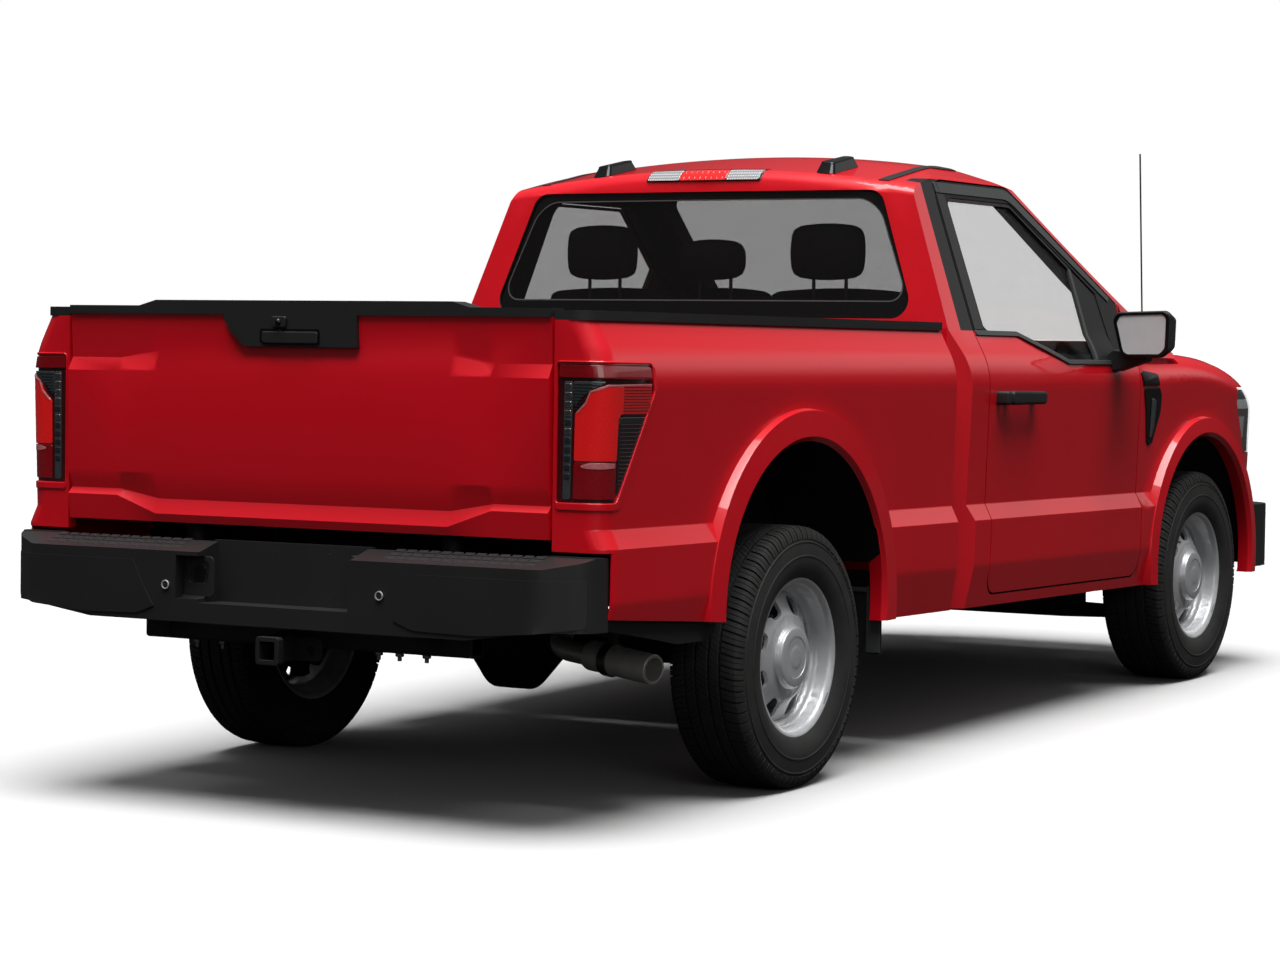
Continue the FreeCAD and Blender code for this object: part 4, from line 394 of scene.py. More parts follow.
cloth = Finish("lining_cloth", roughness=0.95, specular_ior_level=0.1)
weave = cloth.noise(0.0015, 2)
cloth.tones((46, 46, 48), (60, 60, 62), weave)
cloth.bump(weave, 0.4, 0.0004)


def line_inside(piece, middle, reach):
    """Gives the lining to the faces that look towards the middle of the cab."""
    piece.data.materials.append(cloth.material)
    for face in piece.data.polygons:
        look = RAKE @ Vector(middle) - face.center
        look.x *= reach[0]
        look.z *= reach[1]
        if face.normal.dot(look.normalized()) > 0.35:
            face.material_index = 1


line_inside(shell, (1.9, 0, 1.25), (0.6, 1))
line_inside(bpy.data.objects["shaped_roof_panel"], (1.6, 0, 0.6), (0.2, 1))

# Doors: painted below the belt, with the window frame and its posts blacked out
# to the belt moulding, which steps down ahead of the handle.

BELT_HIGH, BELT_LOW = 1.347, 1.256
STEP_REAR, STEP_FRONT = 1.58, 1.88

for side_name in ("left", "right"):
    finish = paint("door_paint_" + side_name)
    forward, high = level_place(finish)
    fall = ((forward - STEP_REAR) / (STEP_FRONT - STEP_REAR)).most(0).least(1)
    belt = BELT_HIGH - fall * (BELT_HIGH - BELT_LOW)
    frame_mask = (high - belt).above(0, 0.0008)
    finish.set(base_color=finish.mix(finish.red, BLACK, frame_mask),
               coat_weight=0.8 - frame_mask * 0.75,
               roughness=finish.dull + frame_mask * 0.1)
    door = shaped("door_" + side_name, finish)
    line_inside(door, (1.9, 0, 1.0), (0.0, 0.2))

# Wheelhouses: sprayed black inside, like the underside of the load floor.

liner_spray = Finish("wheelhouse_spray", roughness=0.85, specular_ior_level=0.2)
grit = liner_spray.noise(0.006, 4)
liner_spray.tones((9, 9, 9), (24, 23, 22), grit)
liner_spray.bump(grit, 0.5, 0.001)
ARCH_REACH, ARCH_RISE, SKIN_LOW, SKIN_HIGH, BED_SIDE, BED_FLOOR = 0.760, 0.533, 0.972, 0.935, 0.845, 0.840
for name in ("box_side_left", "box_side_right", "box_floor"):
    piece = bpy.data.objects["shaped_" + name]
    piece.data.materials.append(liner_spray.material)
    for face in piece.data.polygons:
        spot = RAKE.inverted() @ face.center
        out = face.normal.y * math.copysign(1, spot.y)
        below = face.normal.z < -0.2 or out > 0.3 or spot.z < BED_FLOOR
        hidden = abs(spot.y) < BED_SIDE and below
        skin_edge = SKIN_LOW if spot.z < BED_FLOOR else SKIN_HIGH
        walled = BED_SIDE <= abs(spot.y) < skin_edge and out < 0.3 and spot.z < 1.12
        if math.hypot(spot.x, spot.z - ARCH_RISE) < ARCH_REACH and (hidden or walled):
            face.material_index = 1
        if name == "box_floor" and face.normal.z < -0.5:
            face.material_index = 1

# Glass: clear laminate in front, and dark privacy glass behind with a black
# fired border, which a fine grey line runs along inside.


def glazing(name, tint, body_share):
    finish = Finish(name, base_color=tint)
    grime = finish.noise(0.08, 4)
    finish.set(roughness=grime * 0.03 + 0.015, alpha=grime * 0.02 + body_share)
    return finish


windshield_glass = glazing("windshield_glass", colour(60, 66, 64), 0.14)
door_glass = glazing("door_glass", colour(30, 32, 32), 0.12)
rear_glass = glazing("rear_glass", colour(26, 27, 27), 0.60)
across = abs(rear_glass.at("Y"))
forward, high = level_place(rear_glass)
LINE_LOW, LINE_HIGH, LINE_SIDE_LOW, LINE_SIDE_HIGH = 1.44, 1.772, 0.775, 0.64
slant = (high - LINE_LOW) / (LINE_HIGH - LINE_LOW)
edge = LINE_SIDE_LOW - slant * (LINE_SIDE_LOW - LINE_SIDE_HIGH)
corner = 0.07
reach_out = (across - edge + corner).most(0)
reach_up = (high - LINE_HIGH + corner).most(0)
reach_down = (LINE_LOW + corner - high).most(0)
vertical = reach_up.most(reach_down)
spread = (reach_out * reach_out + vertical * vertical).maths("SQRT", 0.0) - corner
fired = spread.above(0.0, 0.0006)
line = spread.within(-0.002, 0.002, 0.0005)
rear_glass.set(base_color=rear_glass.mix(rear_glass.mix(colour(26, 27, 27), colour(20, 20, 21), fired),
                                         colour(96, 98, 98), line),
               alpha=(fired.most(line)).most(rear_glass.noise(0.08, 4) * 0.02 + 0.44))
shaped("windshield", windshield_glass)
shaped("rear_window", rear_glass)
for side_name in ("left", "right"):
    shaped("door_glass_" + side_name, door_glass)

# Satin black: moulded plastic and powder-coated steel, with a fine grain that
# breaks up the light.


def black_plastic(name, shade, roughness, grain=0.0008, depth=0.0003, slot="black_trim"):
    finish = Finish(name, slot, specular_ior_level=0.4)
    pores = finish.noise(grain, 3)
    cloud = finish.noise(0.25, 2)
    lighter = [min(1, part * 1.5 + 0.004) for part in shade[:3]] + [1]
    finish.set(base_color=finish.mix(shade, lighter, cloud), roughness=pores * 0.15 + roughness)
    finish.bump(pores, 0.35, depth)
    return finish


trim = black_plastic("black_trim", colour(30, 30, 31), 0.5)
coated = black_plastic("coated_steel", colour(34, 34, 35), 0.32, 0.0025, 0.0001)
chassis = black_plastic("chassis_black", colour(18, 18, 18), 0.55, 0.004)
liner_felt = black_plastic("liner_plastic", colour(16, 16, 16), 0.8, 0.003, 0.0006)
gloss_black = black_plastic("gloss_black", colour(12, 12, 13), 0.12, 0.004, 0.00005, "gloss_trim")
dash_plastic = black_plastic("dash_plastic", colour(40, 40, 42), 0.65, 0.0012)

for name, finish in {
        "ladder_frame": chassis, "hitch_receiver": chassis, "rear_axle": chassis, "leaf_springs": chassis,
        "front_suspension": chassis, "cowl_panel": trim, "fuel_tank": liner_felt, "antenna": trim,
        "dashboard": dash_plastic, "steering_wheel": dash_plastic, "bench_seat": cloth}.items():
    finish.dress(solids[name])
for name, finish, slot in (
        ("rear_bumper", coated, "black_trim"), ("front_bumper", coated, "black_trim"),
        ("box_rail_caps", trim, "black_trim"), ("tailgate_cap", trim, "black_trim"),
        ("wheel_liners", liner_felt, "black_trim"), ("grille", gloss_black, "gloss_trim")):
    shaped(name, finish)

# Bare metal: machined steel under the truck, the stainless exhaust, the cast
# engine and the finned radiator.


def metal(name, shade, roughness, metallic=1.0, blotch=0.05):
    finish = Finish(name, "bare_steel")
    cloud = finish.noise(blotch, 4)
    darker = [part * 0.6 for part in shade[:3]] + [1]
    finish.set(base_color=finish.mix(darker, shade, cloud), metallic=metallic,
               roughness=cloud * 0.2 + roughness)
    finish.bump(finish.noise(0.002, 3), 0.2, 0.0002)
    return finish


steel = metal("bare_steel", colour(120, 118, 115), 0.35)
stainless = metal("stainless", colour(225, 223, 219), 0.32, 0.55)
iron = metal("cast_iron", colour(90, 90, 92), 0.6, 0.6, 0.01)
fins = metal("radiator_fins", colour(110, 110, 112), 0.45)
for name, finish in {"drive_shaft": steel, "steering_rack": steel, "knuckle_left": steel,
                     "knuckle_right": steel, "engine_block": iron, "radiator": fins}.items():
    finish.dress(solids[name])
shaped("exhaust", stainless)

# Headlamps: clear polycarbonate lenses, one solid a side.

clear_lens = Finish("clear_lens", roughness=0.04, coat_weight=0.6)
clear_lens.tones((198, 202, 205), (222, 225, 227), clear_lens.noise(0.03, 2),
                 alpha=clear_lens.noise(0.06, 1) * 0.04 + 0.16)
lens = shaped("headlamps", clear_lens)

# Headlamp insides: a black bezel a few millimetres behind each lens, with bright
# reflector cups and a light bar drawn level across it.

bezel = Finish("lamp_bezel", roughness=0.25)
up = level_place(bezel)[1]
out = abs(bezel.at("Y"))
BAR_LOW, BAR_HIGH, CUP_LOW, CUP_HIGH, CUP_PITCH = 1.085, 1.120, 0.975, 1.055, 0.105
cup = (out % CUP_PITCH).within(0.012, 0.093, 0.003) * up.within(CUP_LOW, CUP_HIGH, 0.003)
bar = up.within(BAR_LOW, BAR_HIGH, 0.002)
bezel.set(base_color=bezel.mix(bezel.mix(colour(20, 20, 21), colour(30, 30, 31), bezel.noise(0.01)),
                               colour(214, 216, 218), cup.most(bar)), metallic=cup * 0.5)
backing = copy_of(lens, "lamp_backing")
open_mesh(backing)
bpy.ops.transform.shrink_fatten(value=-0.007)
close_mesh()
bezel.dress(backing)
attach(backing, solids["headlamps"]["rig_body"])

# Tail lamps: wrapped round the box's corner on each side, a red reflector, a clear strip of chromed cells
# and a dark ribbed corner piece, on a dark moulded base.

LAMP_BACK = -1.1185
LAMP_ROUND = 0.06
LAMP_IN, LAMP_OUT = 0.840, 0.990
LAMP_LOW, LAMP_HIGH = 0.867, 1.234
OUTER_FOOT, OUTER_SLOPE = 0.9803, 0.0326
SHOULDER_START, SHOULDER_ROUND = 1.161, 0.24


def polygon(name, points, plane, low, high, bevel=0.0, holes=()):
    """A flat board: an outline, and any holes, drawn out from low to high and rounded along its edges."""
    drawing = bpy.data.curves.new(name, "CURVE")
    drawing.dimensions = "2D"
    drawing.fill_mode = "BOTH"
    for loop in (points,) + tuple(holes):
        spline = drawing.splines.new("POLY")
        spline.points.add(len(loop) - 1)
        for point, place in zip(spline.points, loop):
            point.co = (place[0], place[1], 0, 1)
        spline.use_cyclic_u = True
    drawing.extrude = (high - low) / 2 - bevel
    drawing.bevel_depth = bevel
    drawing.bevel_resolution = 2
    drawing.offset = -bevel
    piece = bpy.data.objects.new(name, drawing)
    bpy.context.collection.objects.link(piece)
    alone(piece)
    bpy.ops.object.convert(target="MESH")
    piece = bpy.context.object
    open_mesh(piece)
    bpy.ops.mesh.remove_doubles(threshold=0.00001)
    bpy.ops.mesh.normals_make_consistent(inside=False)
    close_mesh()
    middle = (low + high) / 2
    turns = {"back": Matrix(((0, 0, 1, middle), (1, 0, 0, 0), (0, 1, 0, 0), (0, 0, 0, 1))),
             "side": Matrix(((1, 0, 0, 0), (0, 0, -1, middle), (0, 1, 0, 0), (0, 0, 0, 1))),
             "top": shifted(0, 0, middle)}
    piece.data.transform(turns[plane])
    return piece


def rounded(corners, radius, steps=4):
    """An outline with each corner turned into an arc; a corner may state its own radius."""
    points = []
    for i, corner in enumerate(corners):
        spot = Vector(corner[:2])
        back = Vector(corners[i - 1][:2]) - spot
        ahead = Vector(corners[(i + 1) % len(corners)][:2]) - spot
        size = corner[2] if len(corner) > 2 else radius
        half = back.angle(ahead) / 2
        if size <= 0 or half > 1.55:
            points.append(tuple(spot))
            continue
        reach = min(size / math.tan(half), back.length * 0.49, ahead.length * 0.49)
        size = reach * math.tan(half)
        start, end = spot + back.normalized() * reach, spot + ahead.normalized() * reach
        middle = spot + (back.normalized() + ahead.normalized()).normalized() * (size / math.sin(half))
        arm = start - middle
        sweep = arm.angle_signed(end - middle)
        for step in range(steps + 1):
            turned = Matrix.Rotation(-sweep * step / steps, 2) @ arm
            points.append(tuple(middle + turned))
    return points


def rectangle(left, right, low, high, radius):
    return rounded([(left, low), (right, low), (right, high), (left, high)], radius)


def block(name, low, high, bevel=0.002, segments=2):
    """A block between two corners with its edges rounded off."""
    bpy.ops.object.select_all(action="DESELECT")
    bpy.ops.mesh.primitive_cube_add(size=1, location=[(a + b) / 2 for a, b in zip(low, high)],
                                    scale=[b - a for a, b in zip(low, high)])
    piece = bpy.context.object
    piece.name = name
    bpy.ops.object.transform_apply(location=True, rotation=True, scale=True)
    if bevel:
        open_mesh(piece)
        bpy.ops.mesh.bevel(offset=bevel, segments=segments, affect="EDGES")
        close_mesh()
    return piece


def joined(name, pieces):
    """Several meshes made one piece."""
    bpy.ops.object.select_all(action="DESELECT")
    for piece in pieces:
        piece.select_set(True)
    bpy.context.view_layer.objects.active = pieces[0]
    if len(pieces) > 1:
        bpy.ops.object.join()
    pieces[0].name = name
    return pieces[0]


def fitted(piece, name, finish, body="root", replaces=(), place=RAKE, angle=30):
    """Puts a level-drawn piece in its place on the truck, smooths it and says what it rides on."""
    piece.name = name
    alone(piece)
    bpy.ops.object.transform_apply(location=True, rotation=True, scale=True)
    if place is not None:
        piece.data.transform(place)
    if angle:
        smooth(piece, angle)
    finish.dress(piece)
    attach(piece, body)
    if replaces:
        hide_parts(*replaces)
    return piece


def sides_swapped(piece):
    piece.data.transform(Matrix.Scale(-1, 4, (0, 1, 0)))
    piece.data.flip_normals()
    return piece


def flipped(piece):
    """The same piece on the truck's other side."""
    return sides_swapped(copy_of(piece, piece.name))


def diced(piece, size, axes="XZ"):
    """Cuts a board into strips along some axes, so that it can follow a curve."""
    alone(piece)
    bpy.ops.object.mode_set(mode="EDIT")
    for axis in axes:
        index = "XYZ".index(axis)
        low = min(corner[index] for corner in piece.bound_box)
        high = max(corner[index] for corner in piece.bound_box)
        count = int((high - low) / size)
        normal = [float(index == place) for place in range(3)]
        for step in range(1, count + 1):
            bpy.ops.mesh.select_all(action="SELECT")
            at = low + step * (high - low) / (count + 1)
            bpy.ops.mesh.bisect(plane_co=[at * part for part in normal], plane_no=normal)
    close_mesh()
    return piece


STRIP = 0.012
ARC = LAMP_ROUND * math.pi / 2
FLAT = LAMP_OUT - LAMP_ROUND - LAMP_IN


def wrapped(piece, proud=0.0):
    """Bends a board drawn flat round the box's left corner. Its X runs along the surface from the
    lamp's inner edge, its Y is the depth behind the surface and its Z is up."""
    for vertex in piece.data.vertices:
        along, deep, high = vertex.co
        deep -= proud
        bulge = max(0, high - SHOULDER_START)
        lean = (LAMP_OUT - OUTER_FOOT - (high - LAMP_LOW) * OUTER_SLOPE
                + bulge ** 2 / (2 * SHOULDER_ROUND)) * min(1, along / FLAT)
        if along < FLAT:
            place = (LAMP_BACK + deep, LAMP_IN + along)
        elif along < FLAT + ARC:
            turn = (along - FLAT) / LAMP_ROUND
            radius = LAMP_ROUND - deep
            place = (LAMP_BACK + LAMP_ROUND - radius * math.cos(turn),
                     LAMP_OUT - LAMP_ROUND + radius * math.sin(turn))
        else:
            place = (LAMP_BACK + LAMP_ROUND + along - FLAT - ARC, LAMP_OUT - deep)
        vertex.co = (place[0], place[1] - lean, high)
    piece.data.update()
    return piece


def lamp_part(name, outlines, finish, deep_low, deep_high, bevel=0.0015, corner=0.006, holes=()):
    """Boards of the lamp, wrapped round the corner on both sides of the truck."""
    boards = []
    for corners in outlines:
        board = polygon(name, rounded(corners, corner), "side", deep_low, deep_high, bevel, holes)
        wrapped(diced(board, STRIP, "X"))
        boards += [board, flipped(board)]
    return fitted(joined(name, boards), name, finish, "root", angle=35)


END = FLAT + ARC + 0.186
FOOT = FLAT + ARC + 0.012
lamp_edge = [(0.0, LAMP_LOW), (0.0, LAMP_HIGH), (END - 0.004, LAMP_HIGH - 0.004, 0.012), (END, 1.158, 0.02),
             (FOOT, LAMP_LOW, 0.02)]


lens_red = Finish("lens_red", roughness=0.12, coat_weight=1.0, coat_roughness=0.03)
facets = lens_red.noise(0.004, 1)
lens_red.tones((228, 22, 26), (250, 40, 40), facets, emission_color=colour(255, 24, 24),
               emission_strength=0.10)
lens_dark_red = Finish("lens_dark_red", roughness=0.16, coat_weight=1.0, coat_roughness=0.03)
lens_dark_red.tones((128, 6, 18), (160, 12, 24), lens_dark_red.noise(0.01, 2))
lens_rim = Finish("lens_rim", roughness=0.2, coat_weight=1.0, coat_roughness=0.03)
lens_rim.tones((52, 6, 12), (74, 10, 18), lens_rim.noise(0.02, 2))
cell_grey = Finish("cell_grey", roughness=0.25, coat_weight=0.8, metallic=0.3)
cell_grey.tones((58, 66, 70), (84, 92, 94), cell_grey.noise(0.006, 2))
smoked = Finish("smoked_lens", roughness=0.2, coat_weight=1.0)
smoked.tones((28, 32, 36), (44, 50, 54), smoked.noise(0.008, 2))
chrome = Finish("chromed_cells", metallic=1.0, roughness=0.12)
chrome.tones((200, 202, 204), (235, 236, 238), chrome.noise(0.004, 1))
# The pink strips along the lens's bevel and ledge are a painted highlight: the white light they catch,
# painted onto the red.
pink_highlight = Finish("lens_edge_highlight", roughness=0.25, coat_weight=0.6)
pink_highlight.tones((190, 96, 104), (222, 140, 144), pink_highlight.noise(0.01, 1))

surround = [(-0.004, LAMP_LOW - 0.022), (-0.004, LAMP_HIGH + 0.006), (END + 0.008, LAMP_HIGH + 0.006, 0.02),
            (END + 0.017, 1.154, 0.03), (FOOT + 0.014, LAMP_LOW - 0.022, 0.03)]
opening = rounded([(-0.0005, LAMP_LOW - 0.001), (-0.0005, LAMP_HIGH + 0.001),
                   (END - 0.002, LAMP_HIGH - 0.001, 0.012), (END + 0.002, 1.158, 0.02),
                   (FOOT + 0.001, LAMP_LOW - 0.001, 0.02)], 0.006)
lamp_part("lamp_surround", [surround], body_paint, -0.003, 0.006, 0.0028, 0.012, [opening])
base = lamp_part("lamp_base", [lamp_edge], lens_rim, 0.004, 0.022)
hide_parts("tail_lamps")
lamp_part("lamp_top_band", [[(0.004, 1.196), (0.004, 1.230), (END - 0.008, 1.226, 0.01),
                             (END - 0.005, 1.192)]], lens_dark_red, 0.0, 0.006)
lamp_part("lamp_strip", [[(0.020, 0.874), (0.020, 1.186), (0.046, 1.186), (0.046, 0.874)]], cell_grey,
          0.001, 0.006)
lamp_part("lamp_cells_upper", [[(0.048, 1.110), (0.048, 1.186), (FLAT + 0.062, 1.186, 0.002),
                                (FLAT + 0.022, 1.170), (FLAT - 0.018, 1.144)]], cell_grey, 0.002, 0.006)
BODY_RIGHT = FLAT + ARC + 0.010
lamp_part("lamp_red_body", [[(0.056, 0.975), (0.056, 1.102, 0.012), (0.085, 1.128, 0.02),
                             (FLAT + 0.010, 1.158, 0.03), (FLAT + 0.060, 1.174, 0.03),
                             (END - 0.012, 1.176, 0.004), (END - 0.018, 1.100, 0.004),
                             (BODY_RIGHT + 0.012, 1.100, 0.012), (BODY_RIGHT, 1.086, 0.008),
                             (BODY_RIGHT - 0.002, 0.975)]], lens_red, -0.001, 0.006, 0.0025)
lamp_part("lamp_red_foot", [[(0.056, 0.876), (0.056, 0.973), (BODY_RIGHT - 0.002, 0.973),
                             (BODY_RIGHT - 0.002, 0.876)]], lens_dark_red, 0.0, 0.006)
lamp_part("lamp_corner", [[
    (BODY_RIGHT + 0.006, 0.890), (BODY_RIGHT + 0.006, 1.078, 0.008), (BODY_RIGHT + 0.014, 1.092, 0.006),
    (END - 0.022, 1.092, 0.006), (FOOT + 0.012, 0.890)]], smoked, 0.001, 0.006)
bevel_line = [(0.060, 1.104), (0.088, 1.131), (FLAT + 0.010, 1.161), (FLAT + 0.060, 1.178),
              (END - 0.014, 1.180), (END - 0.014, 1.176), (FLAT + 0.061, 1.173), (FLAT + 0.012, 1.156),
              (0.091, 1.126), (0.064, 1.101)]
# A painted highlight along the top bevel of the red body.
lamp_part("lamp_bevel_highlight", [bevel_line], pink_highlight, -0.002, 0.005, 0.0005, 0.0)


def rib(left, right, low, tall, slant=0.0):
    return [(left, low), (left, low + tall), (right + slant, low + tall), (right, low)]


lamp_part("lamp_ribs_red", [rib(BODY_RIGHT + 0.020, END - 0.018, 1.108 + step * 0.0078, 0.0034)
                            for step in range(9)], lens_dark_red, -0.0025, 0.004, 0.0006, 0.0)
lamp_part("lamp_ribs_dark", [rib(BODY_RIGHT + 0.010, FOOT + 0.014 + step * (END - FOOT - 0.034) * 0.0515,
                                 0.902 + step * 0.0105, 0.003, 0.002) for step in range(17)],
          lens_rim, -0.0005, 0.004, 0.0006, 0.0)
lamp_part("lamp_ribs_grey", [rib(0.050, FLAT - 0.014 + max(0, step * 0.0082 - 0.032) * 1.6,
                                 1.112 + step * 0.0082, 0.002) for step in range(9)], smoked, 0.0005, 0.004,
          0.0004, 0.0)
cells = [rib(0.023, 0.043, 0.880 + step * 0.0238, 0.015) for step in range(13)]
lamp_part("lamp_cells_lit", [cells[step] for step in (7, 9, 10, 11, 12)], chrome, -0.0005, 0.004, 0.0015,
          0.002)
lamp_part("lamp_cells_dark", [cells[step] for step in (2, 3, 4, 5, 6, 8)], smoked, -0.0005, 0.004, 0.0015,
          0.002)
# A painted highlight along the ledge over the red foot.
highlight_ring = [(FLAT - 0.022, 0.962), (FLAT + 0.010, 0.970), (FLAT + 0.052, 0.972),
             (BODY_RIGHT - 0.010, 0.970), (BODY_RIGHT - 0.010, 0.958), (FLAT + 0.052, 0.955),
             (FLAT + 0.010, 0.956)]
lamp_part("lamp_ledge_highlight", [highlight_ring], pink_highlight, -0.001, 0.004, 0.0008, 0.004)

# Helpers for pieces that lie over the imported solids' curved faces.

trees = {}
FAR = 6


def meets(names, spot, way):
    """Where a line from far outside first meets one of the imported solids; all places are level."""
    begin = RAKE @ (Vector(spot) - FAR * Vector(way))
    best = None
    for name in names:
        if name not in trees:
            mesh = solids[name].data
            trees[name] = BVHTree.FromPolygons([vertex.co for vertex in mesh.vertices],
                                               [tuple(face.vertices) for face in mesh.polygons])
        place = trees[name].ray_cast(begin, RAKE.to_3x3() @ Vector(way))[0]
        if place is not None and (best is None or (place - begin).length < (best - begin).length):
            best = place
    return None if best is None else RAKE.inverted() @ best


def seated(piece, names, way):
    """Lays a board drawn flat at nought over solids: each point keeps its height above what it meets."""
    way = Vector(way)
    last = None
    for vertex in piece.data.vertices:
        deep = vertex.co.dot(way)
        spot = meets(names, vertex.co - way * deep, way)
        last = spot.dot(way) if spot is not None else last
        if last is not None:
            vertex.co += way * last
    return piece


def skin(name, columns, rows, spot, thick):
    """A sheet whose points a rule places by their shares across and up, given its thickness outwards."""
    bpy.ops.object.select_all(action="DESELECT")
    bpy.ops.mesh.primitive_grid_add(x_subdivisions=columns, y_subdivisions=rows, size=2)
    piece = bpy.context.object
    piece.name = name
    for vertex in piece.data.vertices:
        vertex.co = spot(vertex.co.x / 2 + 0.5, vertex.co.y / 2 + 0.5)
    solid = piece.modifiers.new("solid", "SOLIDIFY")
    solid.thickness = thick * 2
    solid.offset = 0
    bpy.ops.object.modifier_apply(modifier="solid")
    return piece


# Tyres: all-season rubber with five ribs round the tread, blocks cut across the
# shoulders, and ringed sidewalls. One pitch of the pattern is modelled, and copied round.

TYRE_RADIUS = 0.385
BEAD = 0.216
PITCHES = 72


def section(name, profile, closed):
    """The outline of a ring as (Y, radius) pairs, left in edit mode with all of it selected."""
    drawing = bpy.data.curves.new(name, "CURVE")
    drawing.dimensions = "3D"
    spline = drawing.splines.new("POLY")
    spline.points.add(len(profile) - 1)
    for point, (across, radius) in zip(spline.points, profile):
        point.co = (radius, across, 0, 1)
    spline.use_cyclic_u = closed
    piece = bpy.data.objects.new(name, drawing)
    bpy.context.collection.objects.link(piece)
    alone(piece)
    bpy.ops.object.convert(target="MESH")
    bpy.ops.object.mode_set(mode="EDIT")
    bpy.ops.mesh.select_all(action="SELECT")
    return bpy.context.object


def spun(steps, sweep):
    """Turns what is selected about the Y axis and closes the mesh."""
    bpy.ops.mesh.spin(steps=steps, angle=sweep, center=(0, 0, 0), axis=(0, 1, 0))
    bpy.ops.mesh.select_all(action="SELECT")
    bpy.ops.mesh.remove_doubles(threshold=0.00001)
    bpy.ops.mesh.normals_make_consistent(inside=False)
    close_mesh()


def lathe(name, profile, steps, closed=False, place=Matrix()):
    """Turns an outline of (Y, radius) pairs once round the Y axis, and puts it in its place."""
    piece = section(name, profile, closed)
    spun(steps, 2 * math.pi)
    piece.data.transform(place)
    return piece


def sector(name, profile, start, end, slant):
    """A block of tread: an outline of (Y, radius) pairs turned through a short angle about the
    Y axis, with its ends set aslant."""
    piece = section(name, profile, True)
    bpy.ops.mesh.edge_face_add()
    bpy.ops.mesh.select_all(action="SELECT")
    bpy.ops.mesh.duplicate()
    spun(1, end - start)
    for vertex in piece.data.vertices:
        lean = slant * vertex.co.y / TYRE_RADIUS
        vertex.co = Matrix.Rotation(start + lean, 3, "Y") @ vertex.co
    return piece


carcass_profile = [(0.093, BEAD + 0.002), (0.101, 0.228), (0.112, 0.243), (0.1195, 0.262), (0.1222, 0.280),
                   (0.1222, 0.292), (0.1236, 0.294), (0.1236, 0.298), (0.1218, 0.300), (0.1205, 0.318),
                   (0.1185, 0.333), (0.1196, 0.335), (0.1196, 0.338), (0.1170, 0.340), (0.1130, 0.352),
                   (0.1080, 0.360), (0.1000, 0.369), (0.0900, 0.3735), (0.0660, 0.3752), (0.0300, 0.3759)]
carcass_profile = carcass_profile + [(-across, radius) for across, radius in reversed(carcass_profile)]
inner_profile = [(-0.086, BEAD), (-0.093, 0.24), (-0.100, 0.30), (-0.085, 0.355), (0.085, 0.355),
                 (0.100, 0.30), (0.093, 0.24), (0.086, BEAD)]
carcass = lathe("carcass", carcass_profile + inner_profile, PITCHES * 2, True)


def crown(across):
    """The tread's outer radius at a place across it."""
    return TYRE_RADIUS - 0.0022 * (across / 0.09) ** 2


def tread_profile(low, high, bottom):
    """The section of a rib between two places across the tread, down to a bottom radius."""
    middle = (low + high) / 2
    lip = 0.0012
    return [(low, bottom), (low, crown(low) - lip), (low + lip, crown(low)), (middle, crown(middle)),
            (high - lip, crown(high)), (high, crown(high) - lip), (high, bottom)]


PITCH = 2 * math.pi / PITCHES
SIPE = 0.055 * PITCH
BOTTOM = 0.3735
blocks = []
for low, high, slant, cuts in ((-0.0175, 0.0175, 0.55, 2), (0.0255, 0.0525, 0.75, 2),
                               (-0.0525, -0.0255, 0.75, 2)):
    step = PITCH / cuts
    for cut in range(cuts):
        blocks.append(sector("rib", tread_profile(low, high, BOTTOM), cut * step + SIPE / 2,
                             (cut + 1) * step - SIPE / 2, slant * (1 if low + high >= 0 else -1)))
shoulder = [(0.0605, 0.371), (0.0605, crown(0.0605) - 0.001), (0.0617, crown(0.0617)),
            (0.078, crown(0.078)), (0.092, crown(0.092) - 0.0006), (0.1030, 0.3782), (0.1105, 0.3702),
            (0.1158, 0.3590), (0.1182, 0.3465), (0.1150, 0.3440), (0.1080, 0.3560), (0.0980, 0.3660),
            (0.0800, 0.3710)]
for turn_side in (1, -1):
    profile = [(across * turn_side, radius) for across, radius in shoulder]
    for cut in range(2):
        wide = 0.16 * PITCH if cut else 0.08 * PITCH
        start = cut * PITCH / 2 + wide / 2
        blocks.append(sector("lug", profile, start, (cut + 1) * PITCH / 2 - 0.06 * PITCH, 0.25 * turn_side))
pitch_piece = joined("pitch", blocks)
open_mesh(pitch_piece)
bpy.ops.mesh.spin(steps=PITCHES - 1, dupli=True, angle=2 * math.pi * (PITCHES - 1) / PITCHES,
                  center=(0, 0, 0), axis=(0, 1, 0))
close_mesh()
tyre_model = joined("tyre_model", [carcass, pitch_piece])
smooth(tyre_model, 26)

rubber = Finish("tyre_rubber", "tyre_rubber", specular_ior_level=0.35)
grime = rubber.noise(0.06, 4)
pores = rubber.noise(0.0016, 2)
rubber.tones((36, 36, 36), (62, 61, 60), grime, roughness=pores * 0.12 + 0.62)
rubber.bump(pores, 0.3, 0.0002)

WHEEL_PLACES = {corner_name: ROAD @ shifted(forward_place, out, TYRE_RADIUS) @ turned(turn, "Z")
                for corner_name, forward_place, out, turn in (
                    ("front_left", 3.119, 0.8585, 0), ("front_right", 3.119, -0.8585, 180),
                    ("rear_left", 0, 0.8675, 0), ("rear_right", 0, -0.8675, 180))}
for corner_name, place in WHEEL_PLACES.items():
    tyre = copy_of(tyre_model, "tread_" + corner_name, place)
    fitted(tyre, "tread_" + corner_name, rubber, "wheel_" + corner_name,
           ("tyre_" + corner_name,), None, 0)
spare_place = RAKE @ shifted(-0.592, 0, 0.5975) @ turned(-90, "X")
fitted(copy_of(tyre_model, "spare", spare_place), "tread_spare", rubber, "root",
       ("spare_wheel",), None, 0)
bpy.data.objects.remove(tyre_model)

# Wheels: pressed steel discs welded to rolled rims, in silver lacquer, with a plain
# pressed cap over the hub, a valve stem and a balance weight on the rim's edge.

